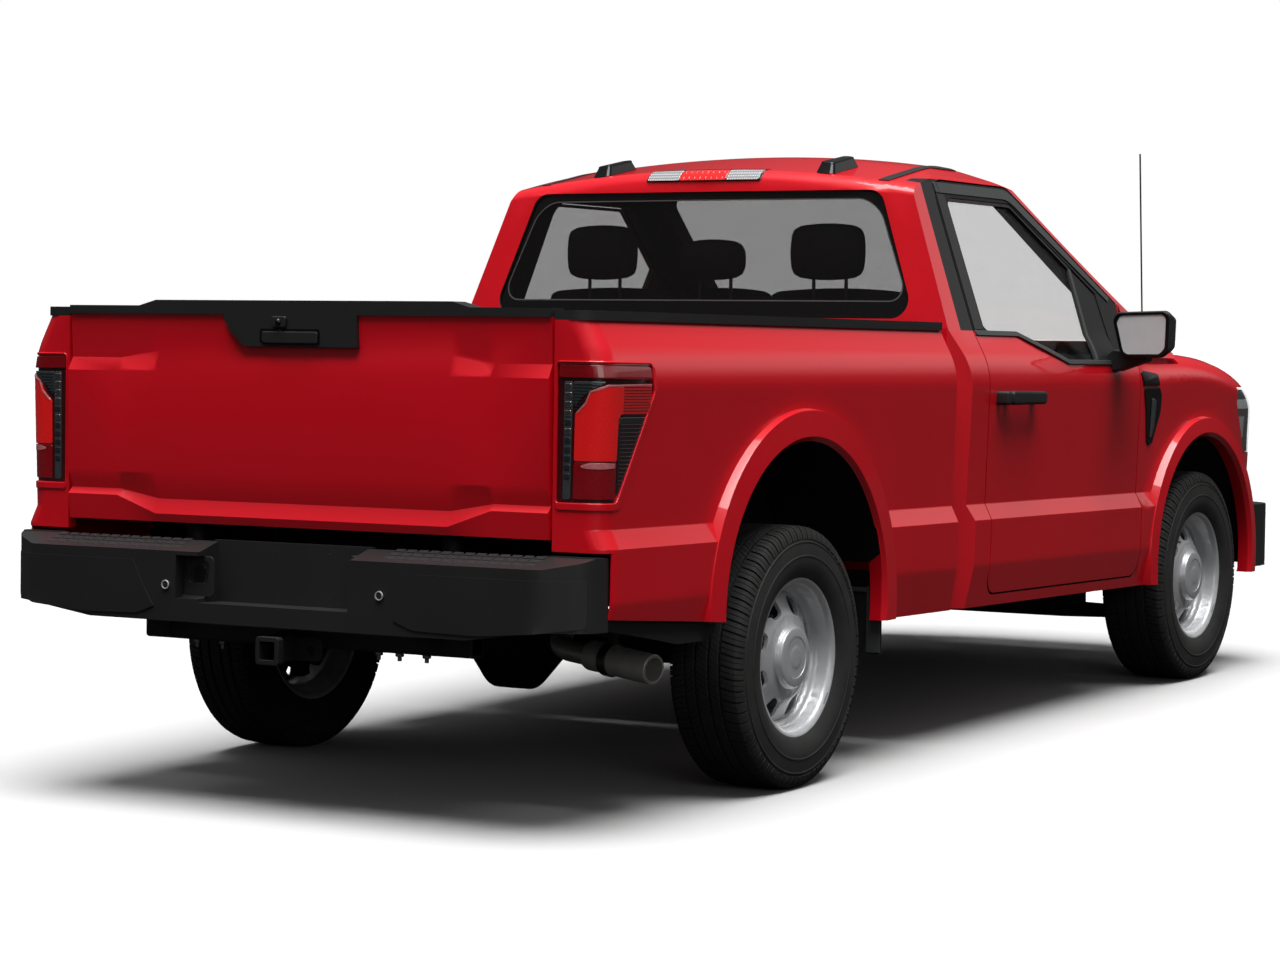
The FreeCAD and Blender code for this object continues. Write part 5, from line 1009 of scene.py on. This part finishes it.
HAND_HOLES = 8
FRONT_TURN, REAR_TURN = 3, 22
silver = Finish("wheel_silver", "wheel_steel", metallic=0.35, coat_roughness=0.2)
silver_cloud = silver.noise(0.03, 3)
silver.tones((206, 207, 209), (226, 227, 229), silver_cloud, roughness=silver_cloud * 0.1 + 0.34,
             coat_weight=0.4)
silver.bump(silver.noise(0.0012, 1), 0.05, 0.0002)
rim_model = copy_of(solids["rim_rear_left"], "rim_model",
                    (WHEEL_PLACES["rear_left"] @ turned(REAR_TURN, "Y")).inverted())
open_mesh(rim_model)
bpy.ops.mesh.remove_doubles(threshold=0.00002)
close_mesh()
cutters = []
for step in range(HAND_HOLES):
    cutter = polygon("cutter", rounded([(-0.024, 0.128), (0.024, 0.128), (0.037, 0.181), (-0.037, 0.181)],
                                       0.016), "side", 0.006, 0.090, 0.0)
    cutter.data.transform(Matrix.Rotation(2 * math.pi * step / HAND_HOLES, 4, "Y"))
    cutters.append(cutter)
cutter = joined("cutters", cutters)
bored = rim_model.modifiers.new("bored", "BOOLEAN")
bored.operation = "DIFFERENCE"
bored.object = cutter
bored.solver = "EXACT"
alone(rim_model)
bpy.ops.object.modifier_apply(modifier="bored")
bpy.data.objects.remove(cutter)
BRAKE_FACE, BRAKE_REACH = 0.030, 0.186


def paint_shade_behind(piece, place):
    """Gives the brake disc and the back of the wheel's disc the black chassis finish: the brake disc's dark
    is its own, and on the back of the wheel's disc it is painted shade.
    """
    piece.data.materials.append(chassis.material)
    home = place.inverted()
    for face in piece.data.polygons:
        spot = home @ face.center
        if spot.y < BRAKE_FACE and math.hypot(spot.x, spot.z) < BRAKE_REACH:
            face.material_index = 1


for corner_name, place in WHEEL_PLACES.items():
    body = "wheel_" + corner_name
    roll = FRONT_TURN if corner_name.startswith("front") else REAR_TURN
    rim = copy_of(rim_model, "rim", place @ turned(roll, "Y"))
    fitted(rim, "wheel_disc_" + corner_name, silver, body, ("rim_" + corner_name,), None, 32)
    # Painted shade on the back of the disc, round the hub.
    paint_shade_behind(rim, place)
    cap = lathe("cap", [(0.0985, 0.0), (0.0985, 0.020), (0.0982, 0.033), (0.0962, 0.036), (0.0962, 0.060),
                        (0.0985, 0.0615), (0.0978, 0.080), (0.0955, 0.0865), (0.0900, 0.0895),
                        (0.0860, 0.0895), (0.0860, 0.0)], 48, place=place)
    fitted(cap, "hub_cap_" + corner_name, silver, body, place=None, angle=34)
    stem = lathe("stem", [(0.062, 0.0), (0.062, 0.0045), (0.076, 0.0045), (0.078, 0.0060), (0.088, 0.0052),
                          (0.089, 0.0034), (0.101, 0.0034), (0.102, 0.0)], 16,
                 place=place @ shifted(0.146, 0, 0.132))
    fitted(stem, "valve_stem_" + corner_name, trim, body, place=None)
    weight = block("weight", (-0.022, 0.097, -0.2345), (0.022, 0.1035, -0.222), 0.002)
    weight.data.transform(place @ Matrix.Rotation(0.9, 4, "Y"))
    fitted(weight, "rim_weight_" + corner_name, steel, body, place=None)

spare_rim = copy_of(rim_model, "spare_rim", spare_place)
fitted(spare_rim, "rim_spare", silver, place=None, angle=32)
# Painted shade on the back of the spare's disc.
paint_shade_behind(spare_rim, spare_place)
bpy.data.objects.remove(rim_model)
hoist = lathe("hoist", [(0.0, 0.0), (0.0, 0.030), (0.012, 0.030), (0.012, 0.012), (0.190, 0.012),
                        (0.190, 0.0)], 24, place=shifted(-0.592, 0, 0.600) @ turned(90, "X"))
fitted(hoist, "spare_hoist", steel)

# Tailgate cap: grained black plastic, with the release handle's bezel let into the
# gate, its paddle over a dark pocket, the camera and the lock.

HANDLE_LEFT, HANDLE_RIGHT = 0.131, -0.075
HANDLE_LOW, HANDLE_HIGH = 1.272, 1.316
GATE_FACE = -1.1335
pocket = polygon("pocket", rounded([(HANDLE_LEFT, HANDLE_LOW + 0.008), (HANDLE_LEFT - 0.012, HANDLE_LOW),
                                    (HANDLE_RIGHT, HANDLE_LOW), (HANDLE_RIGHT, HANDLE_HIGH),
                                    (HANDLE_LEFT, HANDLE_HIGH)], 0.006), "back", GATE_FACE - 0.0012,
                 GATE_FACE + 0.0004, 0.0005)
fitted(pocket, "handle_pocket", gloss_black, "tailgate")
paddle = polygon("paddle", rounded([(HANDLE_LEFT - 0.010, HANDLE_LOW + 0.010),
                                    (HANDLE_LEFT - 0.018, HANDLE_LOW + 0.003),
                                    (HANDLE_RIGHT + 0.006, HANDLE_LOW + 0.003),
                                    (HANDLE_RIGHT + 0.006, HANDLE_HIGH - 0.008),
                                    (HANDLE_LEFT - 0.010, HANDLE_HIGH - 0.008)], 0.006), "back",
                 GATE_FACE - 0.007, GATE_FACE - 0.0012, 0.0028)
fitted(paddle, "handle_paddle", trim, "tailgate")
camera_pod = polygon("camera_pod", rounded([(0.083, 1.318), (0.040, 1.318), (0.036, 1.350), (0.087, 1.350)],
                                           0.006), "back", GATE_FACE - 0.010, GATE_FACE, 0.0035)
fitted(camera_pod, "camera_pod", trim, "tailgate")
glass_eye = lathe("eye", [(0.0, 0.0095), (0.004, 0.0092), (0.007, 0.0065), (0.0085, 0.0035), (0.009, 0.0)],
                  24, place=shifted(GATE_FACE - 0.0095, 0.061, 1.334) @ turned(90, "Z"))
fitted(glass_eye, "camera_eye", gloss_black, "tailgate")
lock = lathe("lock", [(0.0, 0.0075), (0.0025, 0.0075), (0.0035, 0.0065), (0.0035, 0.0048), (0.0022, 0.0042),
                      (0.0022, 0.0)], 24, place=shifted(GATE_FACE, 0.062, 1.306) @ turned(90, "Z"))
fitted(lock, "gate_lock", steel, "tailgate")

# Rear bumper: powder-coated steel with grooved plastic step pads, flush sensors in rings, a wiring socket,
# the plate's bay with its bolts, and a lamp over it.

FACE = -1.243
BAY_FACE = -1.150
PAD_START, PAD_PITCH, PAD_WIDE, PAD_RISE, PAD_SLOPE = 0.350, 0.0375, 0.030, 0.0032, -17.5
groove_pads = []
for side_sign in (1, -1):
    for step in range(13):
        low = PAD_START + step * PAD_PITCH
        for row_start, row_end, row_high in ((-1.212, -1.192, 0.7005), (-1.186, -1.166, 0.7093),
                                             (-1.160, -1.142, 0.7180)):
            pad = block("pad", (row_start, low, row_high - 0.004),
                        (row_end, low + PAD_WIDE, row_high + PAD_RISE), 0.0012, 1)
            pad.data.transform(shifted((row_start + row_end) / 2, 0, row_high)
                               @ turned(PAD_SLOPE, "Y")
                               @ shifted(-(row_start + row_end) / 2, 0, -row_high))
            if side_sign < 0:
                sides_swapped(pad)
            groove_pads.append(pad)
fitted(joined("pads", groove_pads), "step_pads", trim)

FACE_LOW = ((0.406, 0.538), (0.470, 0.514), (0.673, 0.510), (0.850, 0.524), (0.970, 0.540))
FACE_TOP, FACE_INNER, FACE_OUTER, FACE_SLANT = 0.664, 0.483, 0.968, 0.077 / 0.130


def along_table(table, at):
    """A height read from a short list of places, straight between them."""
    for (left, low), (right, high) in zip(table, table[1:]):
        if at <= right:
            return low + (high - low) * max(0, at - left) / (right - left)
    return table[-1][1]


def face_spot(u, v):
    inner = FACE_INNER - (FACE_TOP - FACE_LOW[0][1]) * FACE_SLANT * (1 - v)
    across = inner + (FACE_OUTER - inner) * u
    low = along_table(FACE_LOW, across)
    return across, low + (FACE_TOP - low) * v


face = skin("face", 24, 6, lambda u, v: (0, *face_spot(u, v)), 0.0035)
seated(face, ("rear_bumper",), (1, 0, 0))
fitted(joined("faces", [face, flipped(face)]), "bumper_faces", coated, angle=25)

sensor = lathe("sensor", [(0.0, 0.0095), (0.0012, 0.0095), (0.0030, 0.0100), (0.0030, 0.0125),
                          (0.0, 0.0132)], 32)
eye = lathe("eye", [(0.0, 0.0085), (0.0016, 0.0080), (0.0022, 0.0040), (0.0022, 0.0)], 32)
for index, (across, high, back) in enumerate(((0.776, 0.621, -1.236), (0.366, 0.598, FACE),
                                              (-0.363, 0.602, FACE), (-0.783, 0.628, -1.236))):
    place = shifted(back - 0.0028, across, high) @ turned(90, "Z")
    fitted(copy_of(sensor, "sensor", place), "sensor_ring_%d" % index, silver)
    fitted(copy_of(eye, "eye", place), "sensor_%d" % index, trim)
bpy.data.objects.remove(sensor)
bpy.data.objects.remove(eye)

socket_frame = polygon("socket_frame", rectangle(0.330, 0.226, 0.566, 0.680, 0.016),
                       "back", -1.2075, -1.2035, 0.0015,
                       [rounded([(0.312, 0.604), (0.250, 0.604), (0.240, 0.664), (0.312, 0.668)], 0.010)])
fitted(socket_frame, "socket_frame", trim)
flap = polygon("flap", rounded([(0.296, 0.612), (0.262, 0.612), (0.252, 0.650), (0.288, 0.654)], 0.006),
               "back", -1.2095, -1.2055, 0.0015)
fitted(flap, "socket_flap", gloss_black)
PLATE_MIDDLE = -0.040
holder = polygon("holder", rectangle(0.108, -0.188, 0.571, 0.699, 0.006), "back",
                 BAY_FACE + 0.0035, BAY_FACE + 0.0062, 0.0008)
fitted(holder, "plate_holder", gloss_black)
for index, (across, high) in enumerate(((0.0889, 0.577), (-0.0889, 0.577), (0.0889, 0.698),
                                        (-0.0889, 0.698))):
    head = lathe("head", [(0.0, 0.0088), (0.0012, 0.0088), (0.0024, 0.0074), (0.0050, 0.0060),
                          (0.0058, 0.0034), (0.0058, 0.0)], 6,
                 place=shifted(BAY_FACE + 0.0055, PLATE_MIDDLE + across, high) @ turned(90, "Z"))
    fitted(head, "plate_bolt_%d" % index, steel if high > 0.6 else trim, "root")
LAMP_ACROSS, LAMP_HALF_WIDE = -0.225, 0.012
plate_lamp = block("plate_lamp", (BAY_FACE - 0.018, LAMP_ACROSS - LAMP_HALF_WIDE, 0.655),
                   (BAY_FACE + 0.002, LAMP_ACROSS + LAMP_HALF_WIDE, 0.700), 0.004, 3)
fitted(plate_lamp, "plate_lamp_0", trim)

# Door trims: a drip moulding over the window and a belt moulding under it, black parts whose grey is a
# painted sheen, a gloss post cover with its seam, and the black sail panel ahead of the division bar, which
# has the same painted sheen.

# Black plastic drawn grey: a painted sheen, the light that the mouldings' tops catch.
painted_sheen_trim = black_plastic("painted_sheen_trim", colour(62, 64, 64), 0.32, 0.002, 0.0001)
post_black = black_plastic("post_black", colour(20, 20, 21), 0.22, 0.003, 0.00006)
LEAN_START, LEAN_SHARE, LEAN_AT, SHOULDER_SLACK = 1.345, 0.3631, 0.928, 0.02


def side_at(high):
    """How far out the cab's side stands at a height."""
    if high > LEAN_START:
        return LEAN_AT - (high - LEAN_START) * LEAN_SHARE
    shoulder = max(0, high - SHOULDER_START) ** 2 / (2 * SHOULDER_ROUND + SHOULDER_SLACK)
    return OUTER_FOOT + (high - LAMP_LOW) * OUTER_SLOPE - shoulder


def leaned(piece):
    """Leans a board drawn upright against the cab's side."""
    for vertex in piece.data.vertices:
        vertex.co.y += side_at(vertex.co.z)
    return piece


def door_trim(name, outline, low, high, finish, bevel=0.0015):
    """A board of trim on both doors, laid against their outer sides."""
    board = leaned(diced(polygon(name, outline, "side", low, high, bevel), 0.03, "Z"))
    twin = flipped(board)
    fitted(board, name + "_left", finish, "door_left")
    fitted(twin, name + "_right", finish, "door_right")


TOP_REAR, TOP_FRONT, TOP_HIGH = 1.280, 1.842, 1.832
SLOPE_FRONT, SLOPE_LOW = 2.440, 1.482
drip = rounded([(TOP_REAR, TOP_HIGH), (TOP_FRONT, TOP_HIGH, 0.16), (SLOPE_FRONT, SLOPE_LOW, 0.0),
                (SLOPE_FRONT - 0.020, SLOPE_LOW - 0.016, 0.0), (TOP_FRONT - 0.012, TOP_HIGH - 0.034, 0.16),
                (TOP_REAR, TOP_HIGH - 0.034)], 0.003, 8)
door_trim("drip_moulding", drip, -0.001, 0.004, painted_sheen_trim)
door_trim("drip_seam", [(1.300, 1.796), (1.306, 1.796), (1.301, 1.833), (1.295, 1.833)], 0.0, 0.0046,
          post_black, 0.0004)
belt = [(1.250, 1.352), (1.566, 1.352), (1.893, 1.262), (2.420, 1.262), (2.420, 1.246), (1.888, 1.246),
        (1.562, 1.336), (1.250, 1.336)]
door_trim("belt_moulding", rounded(belt, 0.004), -0.002, 0.0055, painted_sheen_trim, 0.0022)
post_cover = [(1.251, 1.354), (1.316, 1.354), (1.337, 1.788), (1.337, 1.796), (1.279, 1.796)]
door_trim("post_cover", rounded(post_cover, 0.004), -0.001, 0.0025, post_black)
sail = [(2.152, 1.262), (2.186, 1.575), (2.345, 1.482), (2.352, 1.262)]
door_trim("sail_panel", rounded(sail, 0.010), -0.014, -0.004, trim)
bar = [(2.136, 1.262), (2.170, 1.580), (2.186, 1.572), (2.154, 1.262)]
door_trim("division_bar", bar, -0.014, 0.001, painted_sheen_trim, 0.003)
run_channel = rounded([(1.322, 1.356), (1.342, 1.782), (1.836, 1.782, 0.05), (2.178, 1.582), (2.172, 1.572),
                       (1.832, 1.772, 0.05), (1.350, 1.772), (1.330, 1.356)], 0.006)
door_trim("run_channel", run_channel, -0.012, -0.001, rubber, 0.001)

# Door mirrors: a rounded black housing on a short arm, with its silvered glass set into the back behind a
# lip. The glass is drawn as a plain pale grey, not a mirror: its colour is a painted reflection.

# Pale grey with no metal in it: the mirror's brightness is a painted reflection.
mirror_painted_reflection = Finish("mirror_painted_reflection", "gloss_trim", roughness=0.3, specular_ior_level=0.2)
reflection_mottle = mirror_painted_reflection.noise(0.05, 3)
mirror_painted_reflection.tones((222, 223, 224), (236, 237, 238), reflection_mottle)
housing_outline = [(0.996, 1.400), (1.010, 1.428), (1.196, 1.434), (1.212, 1.420), (1.208, 1.296),
                   (1.184, 1.272), (1.046, 1.270), (1.026, 1.282)]
MIRROR_BACK, MIRROR_WAIST, MIRROR_FRONT = 2.206, 2.25, 2.322
MIRROR_MIDDLE, MIRROR_TAPER = (1.105, 1.352), 0.24


def inset(outline, share):
    middle = [sum(point[axis] for point in outline) / len(outline) for axis in (0, 1)]
    return [tuple(middle[axis] + (point[axis] - middle[axis]) * share for axis in (0, 1))
            for point in outline]


housing = polygon("housing", rounded(housing_outline, 0.026, 5), "back", MIRROR_BACK, MIRROR_FRONT, 0.010)
for vertex in housing.data.vertices:
    share = max(0, (vertex.co.x - MIRROR_WAIST) / (MIRROR_FRONT - MIRROR_WAIST))
    vertex.co.y += (MIRROR_MIDDLE[0] - vertex.co.y) * MIRROR_TAPER * share
    vertex.co.z += (MIRROR_MIDDLE[1] - vertex.co.z) * MIRROR_TAPER * share
lip = polygon("lip", rounded(inset(housing_outline, 0.95), 0.024, 5), "back", MIRROR_BACK - 0.004,
              MIRROR_BACK + 0.004, 0.0018, [rounded(inset(housing_outline, 0.84), 0.020, 5)])
pane = polygon("pane", rounded(inset(housing_outline, 0.85), 0.018, 5), "back", MIRROR_BACK - 0.001,
               MIRROR_BACK + 0.001, 0.0004)
arm = polygon("arm", rounded([(0.940, 1.222), (0.936, 1.262), (0.985, 1.300), (1.040, 1.290),
                              (1.110, 1.276), (1.100, 1.258), (1.000, 1.224)], 0.008), "back", 2.246, 2.314,
              0.006)

# Door handles: a pull bar on two feet, with a plain cap behind it.

grip = polygon("grip", rounded([(1.328, 1.112), (1.590, 1.114), (1.590, 1.156), (1.328, 1.158)], 0.014),
               "side", -1.037, -1.014, 0.008)
sides_swapped(grip)
feet = [block("foot", (left, 0.955, 1.119), (left + 0.036, 1.020, 1.151), 0.004) for left in (1.338, 1.546)]
cap = block("cap", (1.292, 0.960, 1.112), (1.324, 1.034, 1.157), 0.010, 3)
handle = joined("handle", [grip, cap] + feet)
for side_name in ("left", "right"):
    for piece, name, finish in ((housing, "mirror_housing", trim), (lip, "mirror_lip", gloss_black),
                                (pane, "mirror_pane", mirror_painted_reflection), (arm, "mirror_arm", trim),
                                (handle, "door_handle", trim)):
        part = flipped(piece)
        if side_name == "left":
            sides_swapped(part)
        replaced = ("mirror_and_handle_" + side_name,) if piece is housing else ()
        fitted(part, name + "_" + side_name, finish, "door_" + side_name, replaced)
for piece in (housing, lip, pane, arm, handle):
    bpy.data.objects.remove(piece)

# Fenders: a gloss black vent behind each front wheel, under a bare black plate.


def fender_trim(name, outline, low, high, finish, bevel=0.002):
    board = sides_swapped(diced(polygon(name, outline, "side", low, high, bevel), 0.03))
    seated(board, ("fender_left",), (0, -1, 0))
    fitted(joined(name, [board, flipped(board)]), name, finish, "root")


fender_trim("fender_plate", rounded([(2.502, 1.228), (2.652, 1.216), (2.662, 1.172), (2.514, 1.172)],
                                    0.010), -0.006, 0.001, gloss_black)
vent = [(2.520, 1.166), (2.664, 1.166), (2.684, 1.140), (2.680, 1.080), (2.612, 0.968), (2.580, 0.958),
        (2.562, 0.975), (2.545, 1.080)]
fender_trim("fender_vent", rounded(vent, 0.012), -0.004, 0.001, gloss_black)
# The blade's grey is the same painted sheen on black plastic.
fender_trim("vent_blade", rounded([(2.590, 1.130), (2.625, 1.120), (2.612, 1.030), (2.588, 0.985),
                                   (2.580, 0.990)], 0.006), -0.010, -0.003, painted_sheen_trim, 0.003)

# Roof: black strips in the ditches, two plugged rack mounts and the stop lamp, with
# clear beaded ends and a red centre, at its rear edge.

DITCH_FRONT = 1.640
EDGE_SPOT, EDGE_SHARE, EDGE_TURN = (1.300, 1.780), 0.7, 72


def ditch_spot(u, v):
    """Along the ditch from its front, and over the roof's rear edge to the window's corner."""
    across = 0.628 + 0.034 * v
    turn = math.radians(EDGE_TURN) * max(0, u - EDGE_SHARE) / (1 - EDGE_SHARE)
    forward = DITCH_FRONT + (EDGE_SPOT[0] - DITCH_FRONT) * min(1, u / EDGE_SHARE)
    way = (math.sin(turn), 0, -math.cos(turn))
    spot = meets(("roof_panel", "cab_shell"), (forward, across, EDGE_SPOT[1]), way)
    return spot - 0.0016 * Vector(way)


ditch = skin("ditch", 30, 2, ditch_spot, 0.002)
fitted(joined("ditch", [ditch, flipped(ditch)]), "ditch_strips", trim)
POD_MIDDLE, POD_TAPER, POD_FOOT = (1.236, 0.428), (0.18, 0.24), 0.01
pod = polygon("pod", rounded([(1.140, 0.394), (1.330, 0.398), (1.342, 0.428), (1.330, 0.458),
                              (1.140, 0.462)], 0.016), "top", -0.006, 0.036, 0.008)
for vertex in pod.data.vertices:
    if vertex.co.z > POD_FOOT:
        vertex.co.x += (POD_MIDDLE[0] - vertex.co.x) * POD_TAPER[0]
        vertex.co.y += (POD_MIDDLE[1] - vertex.co.y) * POD_TAPER[1]
seated(pod, ("roof_panel",), (0, 0, -1))
fitted(joined("pods", [pod, flipped(pod)]), "roof_pods", gloss_black)
beaded = Finish("beaded_lens", roughness=0.15, coat_weight=1.0)
beads = (beaded.at("Y").wave(0.009) * beaded.at("Z").wave(0.009)).above(0.45, 0.2)
beaded.tones((150, 152, 154), (236, 237, 238), beads)
LAMP_HALF, RED_HALF, HIGH_LOW, HIGH_TOP = 0.212, 0.088, 1.838, 1.874


def stop_part(name, left, right, low, high, proud, finish, replaced=()):
    board = diced(polygon(name, rectangle(left, right, low, high, 0.006), "back",
                          -proud, 0.004, 0.0015), 0.03, "YZ")
    seated(board, ("roof_panel", "cab_shell"), (1, 0, 0))
    return fitted(board, name, finish, "root", replaced)


stop_part("stop_lamp_base", -LAMP_HALF - 0.006, LAMP_HALF + 0.006, HIGH_LOW - 0.004, HIGH_TOP + 0.003,
          0.004, gloss_black, ("high_mount_lamp",))
stop_part("stop_lamp_left", RED_HALF + 0.002, LAMP_HALF, HIGH_LOW, HIGH_TOP, 0.008, beaded)
stop_part("stop_lamp_right", -LAMP_HALF, -RED_HALF - 0.002, HIGH_LOW, HIGH_TOP, 0.008, beaded)
stop_part("stop_lamp_red", -RED_HALF, RED_HALF, HIGH_LOW, HIGH_TOP, 0.008, lens_red)
for index in range(8):
    across = (index - 3.5) * 0.021
    stop_part("stop_rib_%d" % index, across - 0.002, across + 0.002, HIGH_LOW + 0.004, HIGH_TOP - 0.004,
              0.0095, lens_dark_red)

# Bench seat: three padded places in dark woven cloth, each with its own cushion,
# back and headrest on two steel posts.


def cushion(name, low, high, crown, replaced=()):
    """A crowned pad: a block rounded by subdivision, its broad faces swollen and its edges drawn in."""
    piece = block(name, low, high, 0.030, 2)
    open_mesh(piece)
    bpy.ops.mesh.subdivide(number_cuts=3)
    close_mesh()
    middle = [(a + b) / 2 for a, b in zip(low, high)]
    half = [(b - a) / 2 for a, b in zip(low, high)]
    for vertex in piece.data.vertices:
        share = [(vertex.co[axis] - middle[axis]) / half[axis] for axis in range(3)]
        for axis in range(3):
            others = [share[other] for other in range(3) if other != axis]
            swell = (1 - others[0] ** 2) * (1 - others[1] ** 2)
            vertex.co[axis] += share[axis] * crown * (swell - 0.5)
    rounded_off = piece.modifiers.new("rounded_off", "SUBSURF")
    rounded_off.levels = 1
    bpy.ops.object.modifier_apply(modifier="rounded_off")
    fitted(piece, name, seat_cloth, "root", replaced, angle=60)


seat_cloth = Finish("seat_cloth", roughness=0.95, specular_ior_level=0.1)
warp = seat_cloth.at("Y").wave(0.004) * seat_cloth.at("Z").wave(0.004)
fuzz = seat_cloth.noise(0.02, 4)
seat_cloth.tones((34, 34, 36), (58, 58, 61), warp * 0.6 + fuzz * 0.4)
seat_cloth.bump(warp, 0.4, 0.0006)
SEAT_BACKS = ((0.185, 0.680), (-0.165, 0.165), (-0.680, -0.185))
for index, (right, left) in enumerate(SEAT_BACKS):
    cushion("seat_cushion_%d" % index, (1.330, right, 0.800), (1.820, left, 0.975), 0.014,
            ("bench_seat",) if index == 0 else ())
    cushion("seat_back_%d" % index, (1.190, right, 0.900), (1.330, left, 1.480), 0.014)
    middle = (right + left) / 2
    wide = 0.128 if index != 1 else 0.115
    top = 1.690 if index != 1 else 1.640
    cushion("headrest_%d" % index, (1.122, middle - wide, 1.515), (1.213, middle + wide, top), 0.012)
    for post_side in (-0.06, 0.06):
        post = lathe("post", [(0.0, 0.006), (0.17, 0.006), (0.17, 0.0), (0.0, 0.0)], 12, True,
                     shifted(1.185, middle + post_side, 1.42) @ turned(90, "X"))
        fitted(post, "headrest_post_%d_%s" % (index, "a" if post_side < 0 else "b"), steel, "root")

# Receiver hitch: a square tube with a welded collar and chain plate, on a crossbar
# between two plates, with its bolts.

MOUTH, TUBE_HIGH = -1.2608, 0.433
receiver = polygon("receiver", rectangle(-0.032, 0.032, TUBE_HIGH - 0.032, TUBE_HIGH + 0.032, 0.006),
                   "back", MOUTH, -1.062, 0.001, [rectangle(-0.0254, 0.0254, TUBE_HIGH - 0.0254,
                                                            TUBE_HIGH + 0.0254, 0.003)])
collar = polygon("collar", rectangle(-0.039, 0.039, TUBE_HIGH - 0.039, TUBE_HIGH + 0.039, 0.010), "back",
                 MOUTH, MOUTH + 0.026, 0.002, [rectangle(-0.030, 0.030, TUBE_HIGH - 0.030,
                                                         TUBE_HIGH + 0.030, 0.004)])
chain_plate = polygon("chain_plate", rectangle(-0.115, 0.115, TUBE_HIGH - 0.030, TUBE_HIGH + 0.034, 0.014),
                      "back", -1.166, -1.156, 0.0015,
                      [[(x + 0.013 * math.cos(t * math.pi / 6),
                         TUBE_HIGH + 0.013 * math.sin(t * math.pi / 6)) for t in range(12)]
                       for x in (-0.078, 0.078)])
crossbar = polygon("crossbar", rectangle(-1.088, -1.038, 0.432, 0.486, 0.010), "side",
                   -0.56, 0.56, 0.002)
gussets = [polygon("gusset", rounded([(-1.240, TUBE_HIGH + 0.030), (-1.090, TUBE_HIGH + 0.030),
                                      (-1.090, TUBE_HIGH + 0.052), (-1.160, TUBE_HIGH + 0.048)], 0.004),
                   "side", side * 0.026 - 0.003, side * 0.026 + 0.003, 0.001) for side in (1, -1)]
ends = [block("end", (-1.092, side * 0.515 - 0.045, 0.436), (-1.034, side * 0.515 + 0.045, 0.560), 0.004)
        for side in (1, -1)]
fitted(joined("hitch", [receiver, collar, chain_plate, crossbar] + gussets + ends), "receiver_hitch",
       chassis, "root", ("hitch_receiver",))
for index, across in enumerate((-0.235, -0.305, -0.395, 0.305, 0.395)):
    bolt = lathe("bolt", [(0.0, 0.0), (0.0, 0.012), (0.010, 0.012), (0.012, 0.010), (0.012, 0.006),
                          (0.024, 0.006), (0.024, 0.0)], 6, True,
                 shifted(-1.063, across, 0.434) @ turned(-90, "X"))
    fitted(bolt, "hitch_bolt_%d" % index, steel)

# Exhaust tip: a galvanised sleeve over the pipe's end with a rolled lip, the clamp
# that holds it and the lug that it hangs from.

TIP = Vector((-0.600, -0.840, 0.385))
TIP_FROM = Vector((-0.520, -0.480, 0.420))
back_along = (TIP_FROM - TIP).normalized()
galvanised = metal("galvanised", colour(226, 225, 221), 0.36, 0.3)
sleeve = lathe("sleeve", [(0.000, 0.0395), (0.0015, 0.0420), (0.006, 0.0428), (0.240, 0.0428),
                          (0.246, 0.0410), (0.246, 0.0380), (0.240, 0.0374), (0.010, 0.0374),
                          (0.002, 0.0380)], 48, True)
clamp = lathe("clamp", [(0.150, 0.0430), (0.150, 0.0470), (0.153, 0.0480), (0.177, 0.0480), (0.180, 0.0470),
                        (0.180, 0.0430)], 48, True)
hanger = block("hanger", (-0.012, 0.152, 0.040), (0.012, 0.176, 0.088), 0.004)
tip_turn = back_along.to_track_quat("Y", "Z").to_matrix().to_4x4()
for piece, name, finish in ((sleeve, "exhaust_sleeve", galvanised), (clamp, "exhaust_clamp", steel),
                            (hanger, "exhaust_hanger", trim)):
    piece.data.transform(Matrix.Translation(TIP) @ tip_turn)
    fitted(piece, name, finish, "root")

# Mud flaps: lighter grey strips along the top and the outer edge.

flap_grey = black_plastic("flap_grey", colour(66, 67, 68), 0.5)
flap_strips = []
for side in (1, -1):
    low, high = sorted((side * 0.938, side * 0.984))
    flap_strips.append(block("edge", (0.4955, low, 0.364), (0.5005, high, 0.566), 0.0015))
    low, high = sorted((side * 0.882, side * 0.984))
    flap_strips.append(block("top", (0.4950, low, 0.548), (0.5005, high, 0.562), 0.0015))
fitted(joined("flap_strips", flap_strips), "flap_grey_strips", flap_grey)

# Grille: five dark grey bars laid across the gloss black surround.

GRILLE_LOW, GRILLE_HIGH, GRILLE_HALF = 0.800, 1.135, 0.540
bars = []
for index in range(5):
    high = GRILLE_LOW + (GRILLE_HIGH - GRILLE_LOW) * (index + 0.5) / 5
    bar_piece = diced(polygon("bar", rectangle(-GRILLE_HALF, GRILLE_HALF, high - 0.013, high + 0.013,
                                               0.008), "back", -0.004, 0.010, 0.003), 0.06, "YZ")
    bars.append(seated(bar_piece, ("grille",), (-1, 0, 0)))
fitted(joined("bars", bars), "grille_bars", flap_grey, "root")
